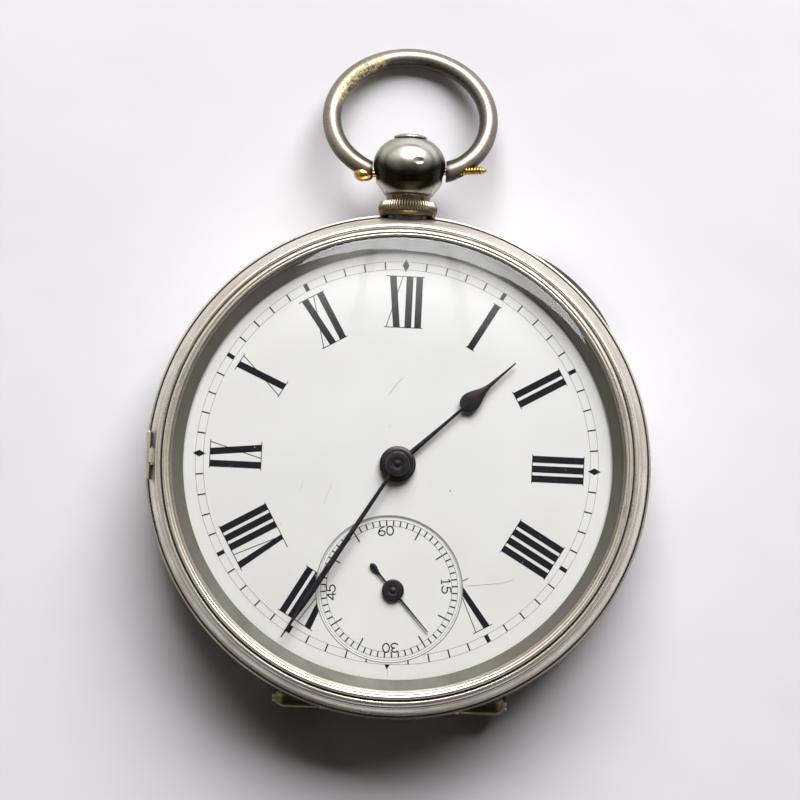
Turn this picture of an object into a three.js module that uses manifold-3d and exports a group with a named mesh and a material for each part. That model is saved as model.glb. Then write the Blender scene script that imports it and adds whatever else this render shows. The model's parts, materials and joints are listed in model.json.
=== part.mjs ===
// An open face pocket watch, key wound, lying on its back.
// Millimetres, +Z up towards the glass, +Y towards 12 o'clock, +X towards 3 o'clock.
// The origin is on the axis of the watch, in the plane of its flat back.
import * as THREE from 'three';
import { mergeVertices } from 'three/addons/utils/BufferGeometryUtils.js';
import Module from 'manifold-3d';

const wasm = await Module();
wasm.setup();

// ---------------------------------------------------------------- driving dimensions

// Radii of the outer shells.
const caseRadius = 25;
const bezelRadius = 23.9;
const apertureRadius = 22.6;
const bandBore = 22;
const ledgeBore = 20.6;
const dialRadius = 21.5;
const flatBackRadius = 15;

// Heights above the flat back.
const backJoint = 3.2;
const bandTop = 9.2;
const bezelTop = 11.8;
const glassTop = 13.4;
const cuvetteFloor = 1.3;
const plateBottom = 6.5;
const plateTop = 7.7;
const dialBottom = 8.8;
const dialTop = 9.5;
const bridgeBottom = 2.5;
const bridgeTop = 3.5;
const pendantHeight = 6.25;

// The pendant and its bow.
const ballRadius = 3.6;
const ballHalfHeight = 3;
const ballTop = 32.4;
const ballSide = 3.7;
const headSeat = 4.6;
const ballCentre = 29.9;
const bowAxis = 29.3;
const bowHalfWidth = 7.85;
const bowHalfHeight = 7.27;
const bowWire = 0.9;
const bowLength = 13.36;
const bowDroop = Math.asin((pendantHeight - bowWire - 0.1) / bowLength);
const buttonTravel = 0.5;

// The hinges: distance of each axis from the watch axis, knuckle radius, overall length.
const backHinge = { distance: 23.2, height: 3.2, radius: 1.1, length: 23.3 };
const cuvetteHinge = { distance: 20.6, height: 2.75, radius: 0.5, length: 8.4 };
const bezelHinge = { distance: 24.45, height: 9.4, radius: 0.4, length: 4.8 };
const hingeGap = 0.15;
const pinFit = 0.05;

// The train: teeth and modules.
const greatWheel = { teeth: 72, module: 0.24 };
const centrePinion = { teeth: 12, module: 0.24 };
const centreWheel = { teeth: 64, module: 0.19 };
const thirdPinion = { teeth: 8, module: 0.19 };
const thirdWheel = { teeth: 60, module: 0.17 };
const fourthPinion = { teeth: 8, module: 0.17 };
const fourthWheel = { teeth: 56, module: 0.15 };
const escapePinion = { teeth: 7, module: 0.15 };
const cannonLeaves = { teeth: 10, module: 0.2 };
const minuteWheel = { teeth: 30, module: 0.2 };
const minutePinion = { teeth: 8, module: 0.2 };
const hourWheel = { teeth: 32, module: 0.2 };
const escapeWheelRadius = 3.1;
const escapeTeeth = 15;
const ratchetTeeth = 24;

const ringSegments = 36;
const drumSegments = 24;
const arborSegments = 10;

// ---------------------------------------------------------------- places in the train

const centreDistance = (a, b) => (a.module * (a.teeth + b.teeth)) / 2;
const onCircle = (radius, degrees) => {
  const angle = THREE.MathUtils.degToRad(degrees);
  return [radius * Math.cos(angle), radius * Math.sin(angle)];
};
const directionTo = (from, to) => Math.atan2(to[1] - from[1], to[0] - from[0]);
const distanceTo = (from, to) => Math.hypot(to[0] - from[0], to[1] - from[1]);

// The point at distance a from p and b from q, on the left of the line from p to q.
function meetingPoint(p, a, q, b) {
  const span = distanceTo(p, q);
  const along = (a * a - b * b + span * span) / (2 * span);
  const aside = Math.sqrt(a * a - along * along);
  const direction = directionTo(p, q);
  return [
    p[0] + along * Math.cos(direction) - aside * Math.sin(direction),
    p[1] + along * Math.sin(direction) + aside * Math.cos(direction),
  ];
}

const centreAt = [0, 0];
const barrelAt = onCircle(centreDistance(greatWheel, centrePinion), 45);
const fourthAt = [0, -12.3];
const thirdAt = meetingPoint(
  centreAt, centreDistance(centreWheel, thirdPinion),
  fourthAt, centreDistance(thirdWheel, fourthPinion),
);
const escapeAt = fourthAt.map(
  (value, i) => value + onCircle(centreDistance(fourthWheel, escapePinion), 160)[i],
);
const balanceAt = [-10.5, -5];
const palletAt = escapeAt.map((value, i) => {
  const angle = THREE.MathUtils.radToDeg(directionTo(escapeAt, balanceAt));
  return value + onCircle(3.75, angle)[i];
});
const minuteWheelAt = onCircle(centreDistance(cannonLeaves, minuteWheel), 150);
const cockFootAt = [-16.4, 4.6];
const clickAt = [barrelAt[0] + 3.75, barrelAt[1] + 2.4];

// ---------------------------------------------------------------- solids

// A closed three.js geometry as a manifold-3d solid.
function solid(geometry) {
  geometry.deleteAttribute('normal');
  geometry.deleteAttribute('uv');
  const merged = mergeVertices(geometry, 1e-4);
  const index = merged.index.array;
  const triangles = [];
  for (let i = 0; i < index.length; i += 3) {
    const [a, b, c] = index.slice(i, i + 3);
    if (a !== b && b !== c && c !== a) triangles.push(a, b, c);
  }
  return new wasm.Manifold(new wasm.Mesh({
    numProp: 3,
    vertProperties: merged.attributes.position.array,
    triVerts: new Uint32Array(triangles),
  }));
}

const join = (first, ...others) => others.reduce((sum, next) => sum.add(next), first);
const cut = (first, ...others) => others.reduce((rest, next) => rest.subtract(next), first);

// A solid turned about an axis from [radius, height] points, listed anticlockwise.
function turned(profile, axis = 'z', segments = arborSegments) {
  const points = profile.map(([radius, height]) => new THREE.Vector2(radius, height));
  const geometry = new THREE.LatheGeometry(points, segments);
  if (axis === 'z') geometry.rotateX(Math.PI / 2);
  if (axis === 'x') geometry.rotateZ(-Math.PI / 2);
  return solid(geometry);
}

// The same, for a profile that closes on itself away from the axis.
const ring = (profile, segments = ringSegments) => turned([...profile, profile[0]], 'z', segments);

const rod = (radius, from, to, axis = 'z', segments = arborSegments) => (
  turned([[0, from], [radius, from], [radius, to], [0, to]], axis, segments)
);

// A stepped shaft on Z, from [radius, from, to] lengths in rising order.
function shaft(steps, segments = arborSegments) {
  const profile = [[0, steps[0][1]]];
  for (const [radius, from, to] of steps) profile.push([radius, from], [radius, to]);
  profile.push([0, steps.at(-1)[2]]);
  return turned(profile, 'z', segments);
}

function block([x0, x1], [y0, y1], [z0, z1]) {
  const geometry = new THREE.BoxGeometry(x1 - x0, y1 - y0, z1 - z0);
  geometry.translate((x0 + x1) / 2, (y0 + y1) / 2, (z0 + z1) / 2);
  return solid(geometry);
}

function slab(shape, from, to, curveSegments = 2) {
  const geometry = new THREE.ExtrudeGeometry(shape, {
    depth: to - from, bevelEnabled: false, curveSegments,
  });
  geometry.translate(0, 0, from);
  return solid(geometry);
}

const outline = (points) => new THREE.Shape(points.map(([x, y]) => new THREE.Vector2(x, y)));

// Points on an ellipse, from one angle to another, both in degrees.
function ellipsePoints([x, y], [a, b], from, to, steps) {
  const points = [];
  for (let i = 0; i <= steps; i += 1) {
    const angle = THREE.MathUtils.degToRad(from + ((to - from) * i) / steps);
    points.push([x + a * Math.cos(angle), y + b * Math.sin(angle)]);
  }
  return points;
}

// ---------------------------------------------------------------- toothed wheels

// The corners of one tooth as [height over the pitch circle in modules, share of the pitch].
const pointedTooth = [[-1.05, -0.27], [0.75, 0], [-1.05, 0.27]];
const bluntLeaf = [[-1.05, -0.22], [0.6, -0.08], [0.6, 0.08], [-1.05, 0.22]];

// Straight-sided teeth, thin enough to turn freely in mesh. One tooth points along phase.
function toothedOutline({ teeth, module }, phase) {
  const pitchRadius = (teeth * module) / 2;
  const corners = teeth > 20 ? pointedTooth : bluntLeaf;
  const step = (2 * Math.PI) / teeth;
  const points = [];
  for (let i = 0; i < teeth; i += 1) {
    const middle = phase + i * step;
    for (const [height, share] of corners) {
      const radius = pitchRadius + height * module;
      const angle = middle + share * step;
      points.push([radius * Math.cos(angle), radius * Math.sin(angle)]);
    }
  }
  return outline(points);
}

// Sector openings between the hub and the rim, leaving spokes.
function addCrossings(shape, inner, outer, spokes, spokeWidth) {
  for (let i = 0; i < spokes; i += 1) {
    const from = (2 * Math.PI * i) / spokes;
    const to = (2 * Math.PI * (i + 1)) / spokes;
    const opening = new THREE.Path();
    opening.absarc(0, 0, outer, from + spokeWidth / 2 / outer, to - spokeWidth / 2 / outer, false);
    opening.absarc(0, 0, inner, to - spokeWidth / 2 / inner, from + spokeWidth / 2 / inner, true);
    opening.closePath();
    shape.holes.push(opening);
  }
  return shape;
}

function spokedWheel(gear, phase, from, to, bore) {
  const rim = (gear.teeth * gear.module) / 2 - 1.05 * gear.module - 0.55;
  const shape = addCrossings(toothedOutline(gear, phase), bore + 0.75, rim, 4, 0.55);
  return cut(slab(shape, from, to), rod(bore, from - 1, to + 1));
}

const leaves = (gear, phase, from, to) => slab(toothedOutline(gear, phase), from, to);

// The phase of a gear at `own` that puts a gap on the line to its partner.
const gapTowards = (own, partner, gear) => directionTo(own, partner) + Math.PI / gear.teeth;

// ---------------------------------------------------------------- materials and pieces

const finish = (color, roughness, metalness, extra = {}) => (
  new THREE.MeshStandardMaterial({ color, roughness, metalness, ...extra })
);
const silver = finish('#b9afa2', 0.3, 1);
const silverBow = finish('#a39b90', 0.45, 1);
const brass = finish('#c79a3f', 0.35, 1);
const gilt = finish('#cfae62', 0.4, 1);
const steel = finish('#a5a7aa', 0.3, 1);
const bluedSteel = finish('#1c1a20', 0.3, 0.8);
const enamel = finish('#ecece6', 0.15, 0);
const crystal = finish('#f4f6f6', 0.05, 0, { transparent: true, opacity: 0.25 });

const watch = new THREE.Group();
const groupAt = (x, y, z, parent = watch) => {
  const group = new THREE.Group();
  group.position.set(x, y, z);
  parent.add(group);
  return group;
};

function piece(name, body, material, parent) {
  const { vertProperties, triVerts } = body.getMesh();
  const geometry = new THREE.BufferGeometry();
  geometry.setAttribute('position', new THREE.BufferAttribute(vertProperties, 3));
  geometry.setIndex(new THREE.BufferAttribute(triVerts, 1));
  geometry.computeVertexNormals();
  const mesh = new THREE.Mesh(geometry, material);
  mesh.name = name;
  parent.add(mesh);
  return mesh;
}

// ---------------------------------------------------------------- hinges

// Alternate lengths of a hinge, as [from, to] along its axis.
function knuckles({ length }, count, first) {
  const step = length / count;
  const spans = [];
  for (let i = first; i < count; i += 2) {
    const low = -length / 2 + i * step + (i > 0 ? hingeGap / 2 : 0);
    const high = -length / 2 + (i + 1) * step - (i < count - 1 ? hingeGap / 2 : 0);
    spans.push([low, high]);
  }
  return spans;
}

// A row of knuckles about X through [y, z], each as long as its span and grown by extra.
const knuckleRow = (spans, radius, [y, z], extra = 0) => (
  spans.map(([low, high]) => rod(radius, low - extra, high + extra, 'x').translate([0, y, z]))
);

// The same row about Y through [x, z].
const knuckleColumn = (spans, radius, [x, z], extra = 0) => (
  spans.map(([low, high]) => rod(radius, low - extra, high + extra, 'y').translate([x, 0, z]))
);

const backPlace = [-backHinge.distance, backHinge.height];
const cuvettePlace = [-cuvetteHinge.distance, cuvetteHinge.height];
const bezelPlace = [-bezelHinge.distance, bezelHinge.height];
const backPinRadius = 0.45;
const smallPinRadius = 0.25;

// ---------------------------------------------------------------- case

function caseMiddle() {
  const bulge = ellipsePoints([caseRadius - 1.4, pendantHeight], [1.4, 2.95], -78, 78, 5);
  const band = ring([
    [bandBore, backJoint + 0.1], ...bulge, [bandBore + 0.3, bandTop], [bandBore, bandTop - 0.3],
    [bandBore, plateBottom - 0.05], [ledgeBore, plateBottom - 0.05],
    [ledgeBore, plateBottom - 0.9], [bandBore, plateBottom - 0.9],
  ]);
  const lip = ring([[21.3, 1.9], [21.9, 1.9], [22.3, 3.8], [21.9, 3.8]]);
  const lipNotch = block([-8.5, 8.5], [-25, -18], [0, backJoint + 0.1]);
  const chordNotch = block([-12, 12], [-25, -21.4], [0, backJoint + 0.1]);
  const pendantSeat = rod(2.35, 23.2, 25.4, 'y', 16).translate([0, 0, pendantHeight]);
  const stemHole = rod(1.3, 21, 26, 'y').translate([0, 0, pendantHeight]);
  const lugs = [-1, 1].map((side) => {
    const span = [2.95, cuvetteHinge.length / 2].map((x) => side * x).sort((a, b) => a - b);
    const arm = block(span, [-21.9, -20.2], [3.4, 4.4]);
    const drop = block(span, [-21.05, -20.15], [2.75, 3.6]);
    return join(arm, drop, ...knuckleRow([span], cuvetteHinge.radius, cuvettePlace));
  });
  const shell = cut(join(band, cut(lip, lipNotch, chordNotch)), pendantSeat, stemHole);
  const roomForCover = knuckleRow(knuckles(backHinge, 5, 1), backHinge.radius + hingeGap, backPlace, 0.01);
  const roomForBezel = knuckleColumn(
    knuckles(bezelHinge, 3, 1), bezelHinge.radius + hingeGap, bezelPlace, 0.01,
  );
  const caseKnuckles = knuckleRow(knuckles(backHinge, 5, 0), backHinge.radius, backPlace);
  const bezelKnuckles = knuckleColumn(knuckles(bezelHinge, 3, 0), bezelHinge.radius, bezelPlace);
  const chordWeb = knuckles(backHinge, 5, 0).map((span) => (
    block(span, [-23.9, -22.3], [backHinge.height, backHinge.height + 1.2])
  ));
  const bezelWeb = knuckles(bezelHinge, 3, 0).map((span) => block([-24.9, -23.7], span, [8.3, 9.15]));
  const solidCase = join(
    cut(shell, ...roomForCover, ...roomForBezel),
    ...caseKnuckles, ...chordWeb, ...bezelKnuckles, ...bezelWeb, ...lugs,
  );
  return cut(
    solidCase,
    rod(backPinRadius + pinFit, -13, 13, 'x').translate([0, ...backPlace]),
    rod(smallPinRadius + pinFit, -5, 5, 'x').translate([0, ...cuvettePlace]),
    rod(smallPinRadius + pinFit, -5, 5, 'y').translate([bezelPlace[0], 0, bezelPlace[1]]),
  );
}

function backCover() {
  const outer = ellipsePoints([flatBackRadius, 3.1], [9.9, 3.1], -90, 0, 4);
  const inner = ellipsePoints([flatBackRadius - 0.4, 3.1], [9.8, 2.6], 0, -90, 4);
  const shell = turned([[0, 0], ...outer, ...inner, [0, 0.5]], 'z', ringSegments);
  const beyondHinge = block([-13, 13], [-26, -21.95], [-1, 4]);
  const wall = block([-11.4, 11.4], [-21.95, -21.6], [1.7, 3.05]);
  const webs = knuckles(backHinge, 5, 1).map((span) => (
    block(span, [-23.1, -21.8], [1.7, 2.6])
  ));
  const row = knuckleRow(knuckles(backHinge, 5, 1), backHinge.radius, backPlace);
  const pinHole = rod(backPinRadius + pinFit, -13, 13, 'x').translate([0, ...backPlace]);
  const thumbLip = ring([[24.2, 2.3], [24.75, 1.9], [25.65, 2.75], [25.65, 3.05], [24.2, 3.05]]);
  const lipSector = slab(outline([
    [0, 0], onCircle(30, 34), onCircle(34, 48), onCircle(30, 62),
  ]), 1, 4);
  return cut(
    join(cut(shell, beyondHinge), wall, ...webs, ...row, thumbLip.intersect(lipSector)), pinHole,
  );
}

function cuvette() {
  const keyHoleRadius = 1.7;
  const shell = turned([
    [0, cuvetteFloor], [20.4, cuvetteFloor], [20.95, 1.8], [20.95, 2.9], [20.6, 2.9],
    [20.6, 1.95], [20.2, 1.7], [0, 1.7],
  ], 'z', ringSegments);
  const beyondHinge = block([-12, 12], [-22, -20.1], [1, 3]);
  const knuckleSpan = [-2.8, 2.8];
  const tongue = block(knuckleSpan, [-20.75, -19.95], [cuvetteFloor, 2.75]);
  const [knuckle] = knuckleRow([knuckleSpan], cuvetteHinge.radius, cuvettePlace);
  return cut(
    join(cut(shell, beyondHinge), tongue, knuckle),
    rod(keyHoleRadius, 0, 3).translate([...centreAt, 0]),
    rod(keyHoleRadius, 0, 3).translate([...barrelAt, 0]),
    rod(smallPinRadius + pinFit, -5, 5, 'x').translate([0, ...cuvettePlace]),
  );
}

function bezel() {
  const shoulder = ellipsePoints([23.1, 10.9], [0.8, 0.9], 0, 90, 3);
  const body = ring([
    [22.2, 9.3], [bezelRadius, 9.3], [bezelRadius, 9.9], [bezelRadius - 0.25, 10.1],
    ...shoulder, [apertureRadius, bezelTop - 0.1], [apertureRadius, 11.6], [23, 11.6],
    [23, 11], [apertureRadius, 11], [21.1, 9.9], [21.1, 9.75], [22.2, 9.75],
  ]);
  const span = knuckles(bezelHinge, 3, 1);
  const arm = block([-24.35, -23.4], span[0], [9.35, 9.85]);
  const roomForCase = knuckleColumn(
    knuckles(bezelHinge, 3, 0), bezelHinge.radius + hingeGap, bezelPlace, 0.1,
  );
  const [knuckle] = knuckleColumn(span, bezelHinge.radius, bezelPlace);
  return cut(
    join(cut(body, ...roomForCase), arm, knuckle),
    rod(smallPinRadius + pinFit, -5, 5, 'y').translate([bezelPlace[0], 0, bezelPlace[1]]),
  );
}

function glass() {
  const rim = 22.4;
  const edge = 22.9;
  const seat = [11.05, 11.55];
  const insideTop = glassTop - 0.9;
  const rise = ellipsePoints([0, seat[1]], [rim, glassTop - seat[1]], 8, 64, 2);
  const hollow = ellipsePoints([0, seat[0]], [rim - 0.4, insideTop - seat[0]], 64, 8, 2);
  return turned([
    [0, insideTop], ...hollow, [rim, seat[0]], [edge, seat[0]], [edge, seat[1]], [rim, seat[1]],
    ...rise, [0, glassTop],
  ], 'z', ringSegments);
}

// The neck and the ball, with bores for the button and the bow screw.
function pendant() {
  const ball = ellipsePoints([0, ballCentre], [ballRadius, ballHalfHeight], -48, 54, 7);
  const body = turned([
    [0, 23.3], [2.2, 23.3], [2.2, 26.2], [2.35, 26.4], ...ball, [1.95, ballTop], [0, ballTop],
  ], 'y', 16);
  const stemHole = rod(1.3, 20, 34, 'y', 16);
  const capWell = rod(1.75, ballTop - 0.85, 34, 'y', 16);
  const screwHole = rod(0.46, -5, 5, 'x').translate([0, bowAxis, 0]);
  return cut(body, stemHole, capWell, screwHole);
}

function pendantCollar() {
  const flutes = 28;
  const bottom = 24.95;
  const top = 26.2;
  const points = [];
  for (let i = 0; i < 2 * flutes; i += 1) points.push(onCircle(i % 2 ? 2.95 : 2.8, (180 * i) / flutes));
  const knurled = slab(outline(points), 0, top - bottom).rotate([-90, 0, 0]).translate([0, bottom, 0]);
  return cut(knurled, rod(2.25, 24, 27, 'y', 24));
}

function pushButton() {
  const capTop = 33.15;
  const capBottom = 32.1;
  const body = turned([
    [0, 21.95], [1.2, 21.95], [1.2, capBottom], [1.65, capBottom], [1.65, capTop - 0.15],
    [1.5, capTop], [0, capTop],
  ], 'y', 16);
  const slot = block([-2, 2], [bowAxis - 0.6, bowAxis + 0.6 + buttonTravel], [-0.5, 0.5]);
  return cut(body, slot);
}

// A leaf along the wall of the band, from its foot on the left to the stem of the button.
function lockSpring() {
  const leaf = outline([
    ...ellipsePoints([0, 0], [21.8, 21.8], 84, 150, 14),
    ...ellipsePoints([0, 0], [21.35, 21.35], 150, 84, 14),
  ]);
  const foot = outline([
    ...ellipsePoints([0, 0], [21.85, 21.85], 146, 156, 3),
    ...ellipsePoints([0, 0], [20.9, 20.9], 156, 146, 3),
  ]);
  return join(slab(leaf, 4.1, 5.4), slab(foot, 4.0, 5.4));
}

// The ring of the bow about its own axis, cut off flat against the sides of the ball.
// It hangs down from straight by bowDroop, so that it rests on whatever the watch lies on.
function bow() {
  const middle = bowLength - bowHalfHeight;
  const points = ellipsePoints([0, middle], [bowHalfWidth, bowHalfHeight], -62, 242, 16);
  const curve = new THREE.CatmullRomCurve3(points.map(([x, y]) => new THREE.Vector3(x, y, 0)));
  const section = new THREE.Shape();
  section.absarc(0, 0, bowWire, 0, 2 * Math.PI, false);
  const wire = solid(new THREE.ExtrudeGeometry(section, {
    steps: 24, bevelEnabled: false, extrudePath: curve, curveSegments: 4,
  }));
  const ballRoom = block([-ballSide, ballSide], [-3.5, 3], [-3, 3]);
  const screwHole = rod(0.42, -9, 9, 'x');
  const headRoom = rod(0.85, -7, -headSeat, 'x');
  const eyes = join(rod(1.05, -headSeat, -ballSide, 'x'), rod(1.05, ballSide, 5.2, 'x'));
  return cut(join(wire, eyes), ballRoom, screwHole, headRoom);
}

function bowScrew() {
  const headRadius = 0.72;
  const threadRadius = 0.36;
  const seat = -headSeat - 0.03;
  const tip = 7.7;
  return turned([
    [0, seat - 0.9], [headRadius * 0.6, seat - 0.8], [headRadius * 0.95, seat - 0.45],
    [headRadius, seat], [threadRadius, seat], [threadRadius, tip - 0.5], [0.12, tip], [0, tip],
  ], 'x');
}

// ---------------------------------------------------------------- fixed parts of the movement

const pivotRadius = 0.2;
const pivotHole = (place, from, to, radius = pivotRadius) => (
  rod(radius + pinFit, from, to).translate([...place, 0])
);

const caseScrewPlaces = [onCircle(19.8, 20), onCircle(19.8, 200)];
const barrelBridgeFeet = [[17.5, -3], [-3, 17.5]];
const trainBridgeFeet = [[12, -14], [-3.2, -17.6]];
const palletCockFoot = [-9.6, -14];
const dialFeet = [40, 165, 310].map((degrees) => onCircle(17.5, degrees));
const footRadius = 1.5;
const screwRadius = 0.5;

function mainPlate() {
  const disc = rod(21.6, plateBottom, plateTop, 'z', ringSegments);
  const stud = rod(0.3, plateTop - 0.5, 8.7).translate([...minuteWheelAt, 0]);
  const stemRoom = block([-1.7, 1.7], [20.9, 22], [6, 8]);
  const through = (place, radius) => rod(radius, 6, 8).translate([...place, 0]);
  return join(cut(
    disc,
    stemRoom,
    through(centreAt, 0.8),
    through(barrelAt, 0.65),
    ...[thirdAt, fourthAt, escapeAt, balanceAt, palletAt].map((place) => through(place, 0.3)),
    ...caseScrewPlaces.map((place) => through(place, 0.5)),
    ...dialFeet.map((place) => through(place, 0.45)),
  ), stud);
}

// A bridge: a plate with feet that stand on the main plate.
function bridge(plate, feet) {
  const posts = feet.map((place) => (
    rod(footRadius, bridgeBottom, plateBottom - 0.02).translate([...place, 0])
  ));
  const screwHoles = feet.map((place) => rod(screwRadius + 0.1, 2, 4.8).translate([...place, 0]));
  const headWells = feet.map((place) => rod(1.05, 2, 2.9).translate([...place, 0]));
  return cut(join(plate, ...posts), ...screwHoles, ...headWells);
}

const bridgeDisc = () => rod(19.8, bridgeBottom, bridgeTop, 'z', ringSegments);

function barrelBridge() {
  const halfPlane = block([0.9, 30], [-30, 30], [2, 4]).rotate([0, 0, 45]);
  const plate = bridgeDisc().intersect(halfPlane);
  const arborHole = rod(0.95, 2, 4).translate([...barrelAt, 0]);
  const clickHole = rod(0.3, 2, 4).translate([...clickAt, 0]);
  return cut(bridge(plate, barrelBridgeFeet), arborHole, clickHole, rod(1.4, 2, 4));
}

function trainBridge() {
  const halfPlane = block([-30, 0.6], [-30, 30], [2, 4]).rotate([0, 0, 45]);
  const right = block([-7.5, 25], [-25, 25], [2, 4]);
  const aboveCentre = block([-25, -2], [1.6, 25], [2, 4]);
  const balanceRoom = rod(7.7, 2, 4, 'z', ringSegments).translate([...balanceAt, 0]);
  const plate = cut(bridgeDisc().intersect(halfPlane).intersect(right), aboveCentre, balanceRoom);
  const holes = [thirdAt, fourthAt, escapeAt].map((place) => pivotHole(place, 2, 4));
  return cut(bridge(plate, trainBridgeFeet), ...holes, pivotHole(centreAt, 2, 4, 0.75));
}

const footing = (place, radius, from, to) => rod(radius, from, to, 'z', 16).translate([...place, 0]);

// An arm of even width between two places.
function arm(from, to, width, low, high) {
  const degrees = THREE.MathUtils.radToDeg(directionTo(from, to));
  return block([0, distanceTo(from, to)], [-width / 2, width / 2], [low, high])
    .rotate([0, 0, degrees]).translate([...from, 0]);
}

function balanceCock() {
  const [low, high] = [2.45, 3.15];
  return cut(
    join(
      arm(cockFootAt, balanceAt, 3.2, low, high),
      footing(cockFootAt, 2.2, low, plateBottom - 0.02),
      footing(balanceAt, 1.9, low, high),
      footing(balanceAt, 0.8, 2.0, high),
    ),
    pivotHole(balanceAt, 1, 4),
    footing(cockFootAt, 0.6, 2, 4.8),
    footing(cockFootAt, 1.05, 2, 2.75),
  );
}

function palletCock() {
  const [low, high] = [4.5, 5.05];
  return cut(
    join(
      arm(palletCockFoot, palletAt, 1.8, low, high),
      footing(palletCockFoot, 1.3, low, plateBottom - 0.02),
      footing(palletAt, 0.9, low, high),
    ),
    pivotHole(palletAt, 4, 6),
    footing(palletCockFoot, 0.35, 4, 5.6),
  );
}

function dial() {
  const face = turned([
    [0, dialBottom], [dialRadius, dialBottom], [dialRadius, dialTop - 0.2],
    [dialRadius - 0.25, dialTop], [0, dialTop],
  ], 'z', ringSegments);
  const feet = dialFeet.map((place) => rod(0.4, 7.0, dialBottom + 0.1).translate([...place, 0]));
  return cut(join(face, ...feet), rod(1.35, 8, 10), rod(0.45, 8, 10).translate([...fourthAt, 0]));
}

// A cheese-head screw with its slot, head towards the back.
function screw(head, shank, slotWidth = 0.25) {
  const body = shaft([[head.radius, head.from, head.to], [shank.radius, head.to, shank.to]]);
  const slot = block(
    [-2, 2], [-slotWidth / 2, slotWidth / 2], [head.from - 1, head.from + (head.to - head.from) / 2],
  );
  return cut(body, slot);
}

const bridgeScrew = () => screw({ radius: 0.95, from: 2.45, to: 2.85 }, { radius: 0.5, to: 4.7 });
const caseScrew = () => screw({ radius: 1.1, from: 5.1, to: 5.5 }, { radius: 0.42, to: 7.3 });

// A flat spiral of even pitch in the plane of z = 0.
function spiral(innerRadius, outerRadius, turns, thickness, stepsPerTurn) {
  const steps = Math.round(turns * stepsPerTurn);
  const edge = (offset) => Array.from({ length: steps + 1 }, (_, i) => {
    const radius = innerRadius + ((outerRadius - innerRadius) * i) / steps + offset;
    return onCircle(radius, (360 * i) / stepsPerTurn);
  });
  return outline([...edge(thickness / 2), ...edge(-thickness / 2).reverse()]);
}

const hairspring = () => slab(spiral(1.0, 4.1, 4, 0.12, 14), 3.3, 3.45);
const hairspringStud = () => rod(0.3, 3.22, 3.6).translate([4.5, 0, 0]);

function clickSpring() {
  return join(
    slab(outline([[0, 0], [0.3, 0], [0.3, 4.6], [0, 4.6]]), 2.1, 2.4),
    rod(0.6, 2.1, 2.4).translate([0.15, -0.3, 0]),
  );
}

// ---------------------------------------------------------------- moving parts of the movement

const barrelTop = 5.35;
const barrelWall = 8.2;

function barrelDrum() {
  const teeth = leaves(greatWheel, directionTo(barrelAt, centreAt), 3.8, 4.25);
  const wall = ring([
    [7.6, 4.1], [barrelWall, 4.1], [barrelWall, barrelTop], [7.6, barrelTop],
  ], drumSegments);
  return cut(join(teeth, wall), rod(0.95, 3, 5), rod(7.6, 4.1, 4.6, 'z', drumSegments));
}

const barrelCover = () => cut(rod(7.5, 5.0, 5.3, 'z', drumSegments), rod(0.95, 4, 6));
const mainspring = () => slab(spiral(2.4, 7.2, 6, 0.22, 12), 4.2, 4.9);

function barrelArbor() {
  const square = block([-0.6, 0.6], [-0.6, 0.6], [1.75, 2.1]);
  const body = shaft([[0.85, 2.05, 4.12], [1.6, 4.12, 4.9], [0.85, 4.9, 5.6], [0.6, 5.6, 7.5]]);
  return join(body, square);
}

function ratchetWheel() {
  const step = 360 / ratchetTeeth;
  const points = [];
  for (let i = 0; i < ratchetTeeth; i += 1) {
    points.push(onCircle(2.45, i * step), onCircle(2.9, (i + 0.1) * step));
  }
  return cut(slab(outline(points), 2.12, 2.42), rod(0.87, 1, 3));
}

function click() {
  const beak = outline([[-0.5, 0.2], [0.1, -2.1], [0.45, -2.1], [0.6, 0.2]]);
  return join(slab(beak, 2.12, 2.42), rod(0.75, 2.12, 2.42), rod(0.25, 2.2, 2.9));
}

function centreArbor() {
  const square = block([-0.5, 0.5], [-0.5, 0.5], [1.75, 2.35]);
  const body = shaft([[0.7, 2.3, plateTop + 0.1], [0.45, plateTop + 0.1, 11.25]]);
  const pinion = leaves(centrePinion, gapTowards(centreAt, barrelAt, centrePinion), 3.7, 4.35);
  return join(body, square, pinion);
}

const wheelOf = (gear, own, partner, from, to, bore) => (
  spokedWheel(gear, directionTo(own, partner), from, to, bore)
);

// A plain arbor with pivots at both ends and one pinion.
function pinionArbor(gear, own, partner, pinionFrom, pinionTo, thick = 0.35) {
  const [low, high] = [bridgeBottom + 0.2, plateTop - 0.1];
  const body = shaft([
    [pivotRadius, low, bridgeTop + 0.05], [thick, bridgeTop + 0.05, plateBottom - 0.05],
    [pivotRadius, plateBottom - 0.05, high],
  ]);
  return join(body, leaves(gear, gapTowards(own, partner, gear), pinionFrom, pinionTo));
}

const thirdArbor = () => pinionArbor(thirdPinion, thirdAt, centreAt, 5.5, 6.2);
const escapeArbor = () => pinionArbor(escapePinion, escapeAt, fourthAt, 3.75, 4.35, 0.3);

function fourthArbor() {
  const secondsPivot = rod(0.18, plateTop - 0.2, dialTop + 0.4);
  return join(pinionArbor(fourthPinion, fourthAt, thirdAt, 4.65, 5.25), secondsPivot);
}

function escapeWheel() {
  const points = [];
  const step = 360 / escapeTeeth;
  for (let i = 0; i < escapeTeeth; i += 1) {
    points.push(
      onCircle(2.35, i * step), onCircle(escapeWheelRadius, (i + 0.35) * step),
      onCircle(escapeWheelRadius, (i + 0.5) * step), onCircle(2.35, (i + 0.3) * step + 8),
    );
  }
  const shape = addCrossings(outline(points), 0.8, 1.9, 4, 0.45);
  return cut(slab(shape, 5.45, 5.7), rod(0.32, 5, 6));
}

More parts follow.
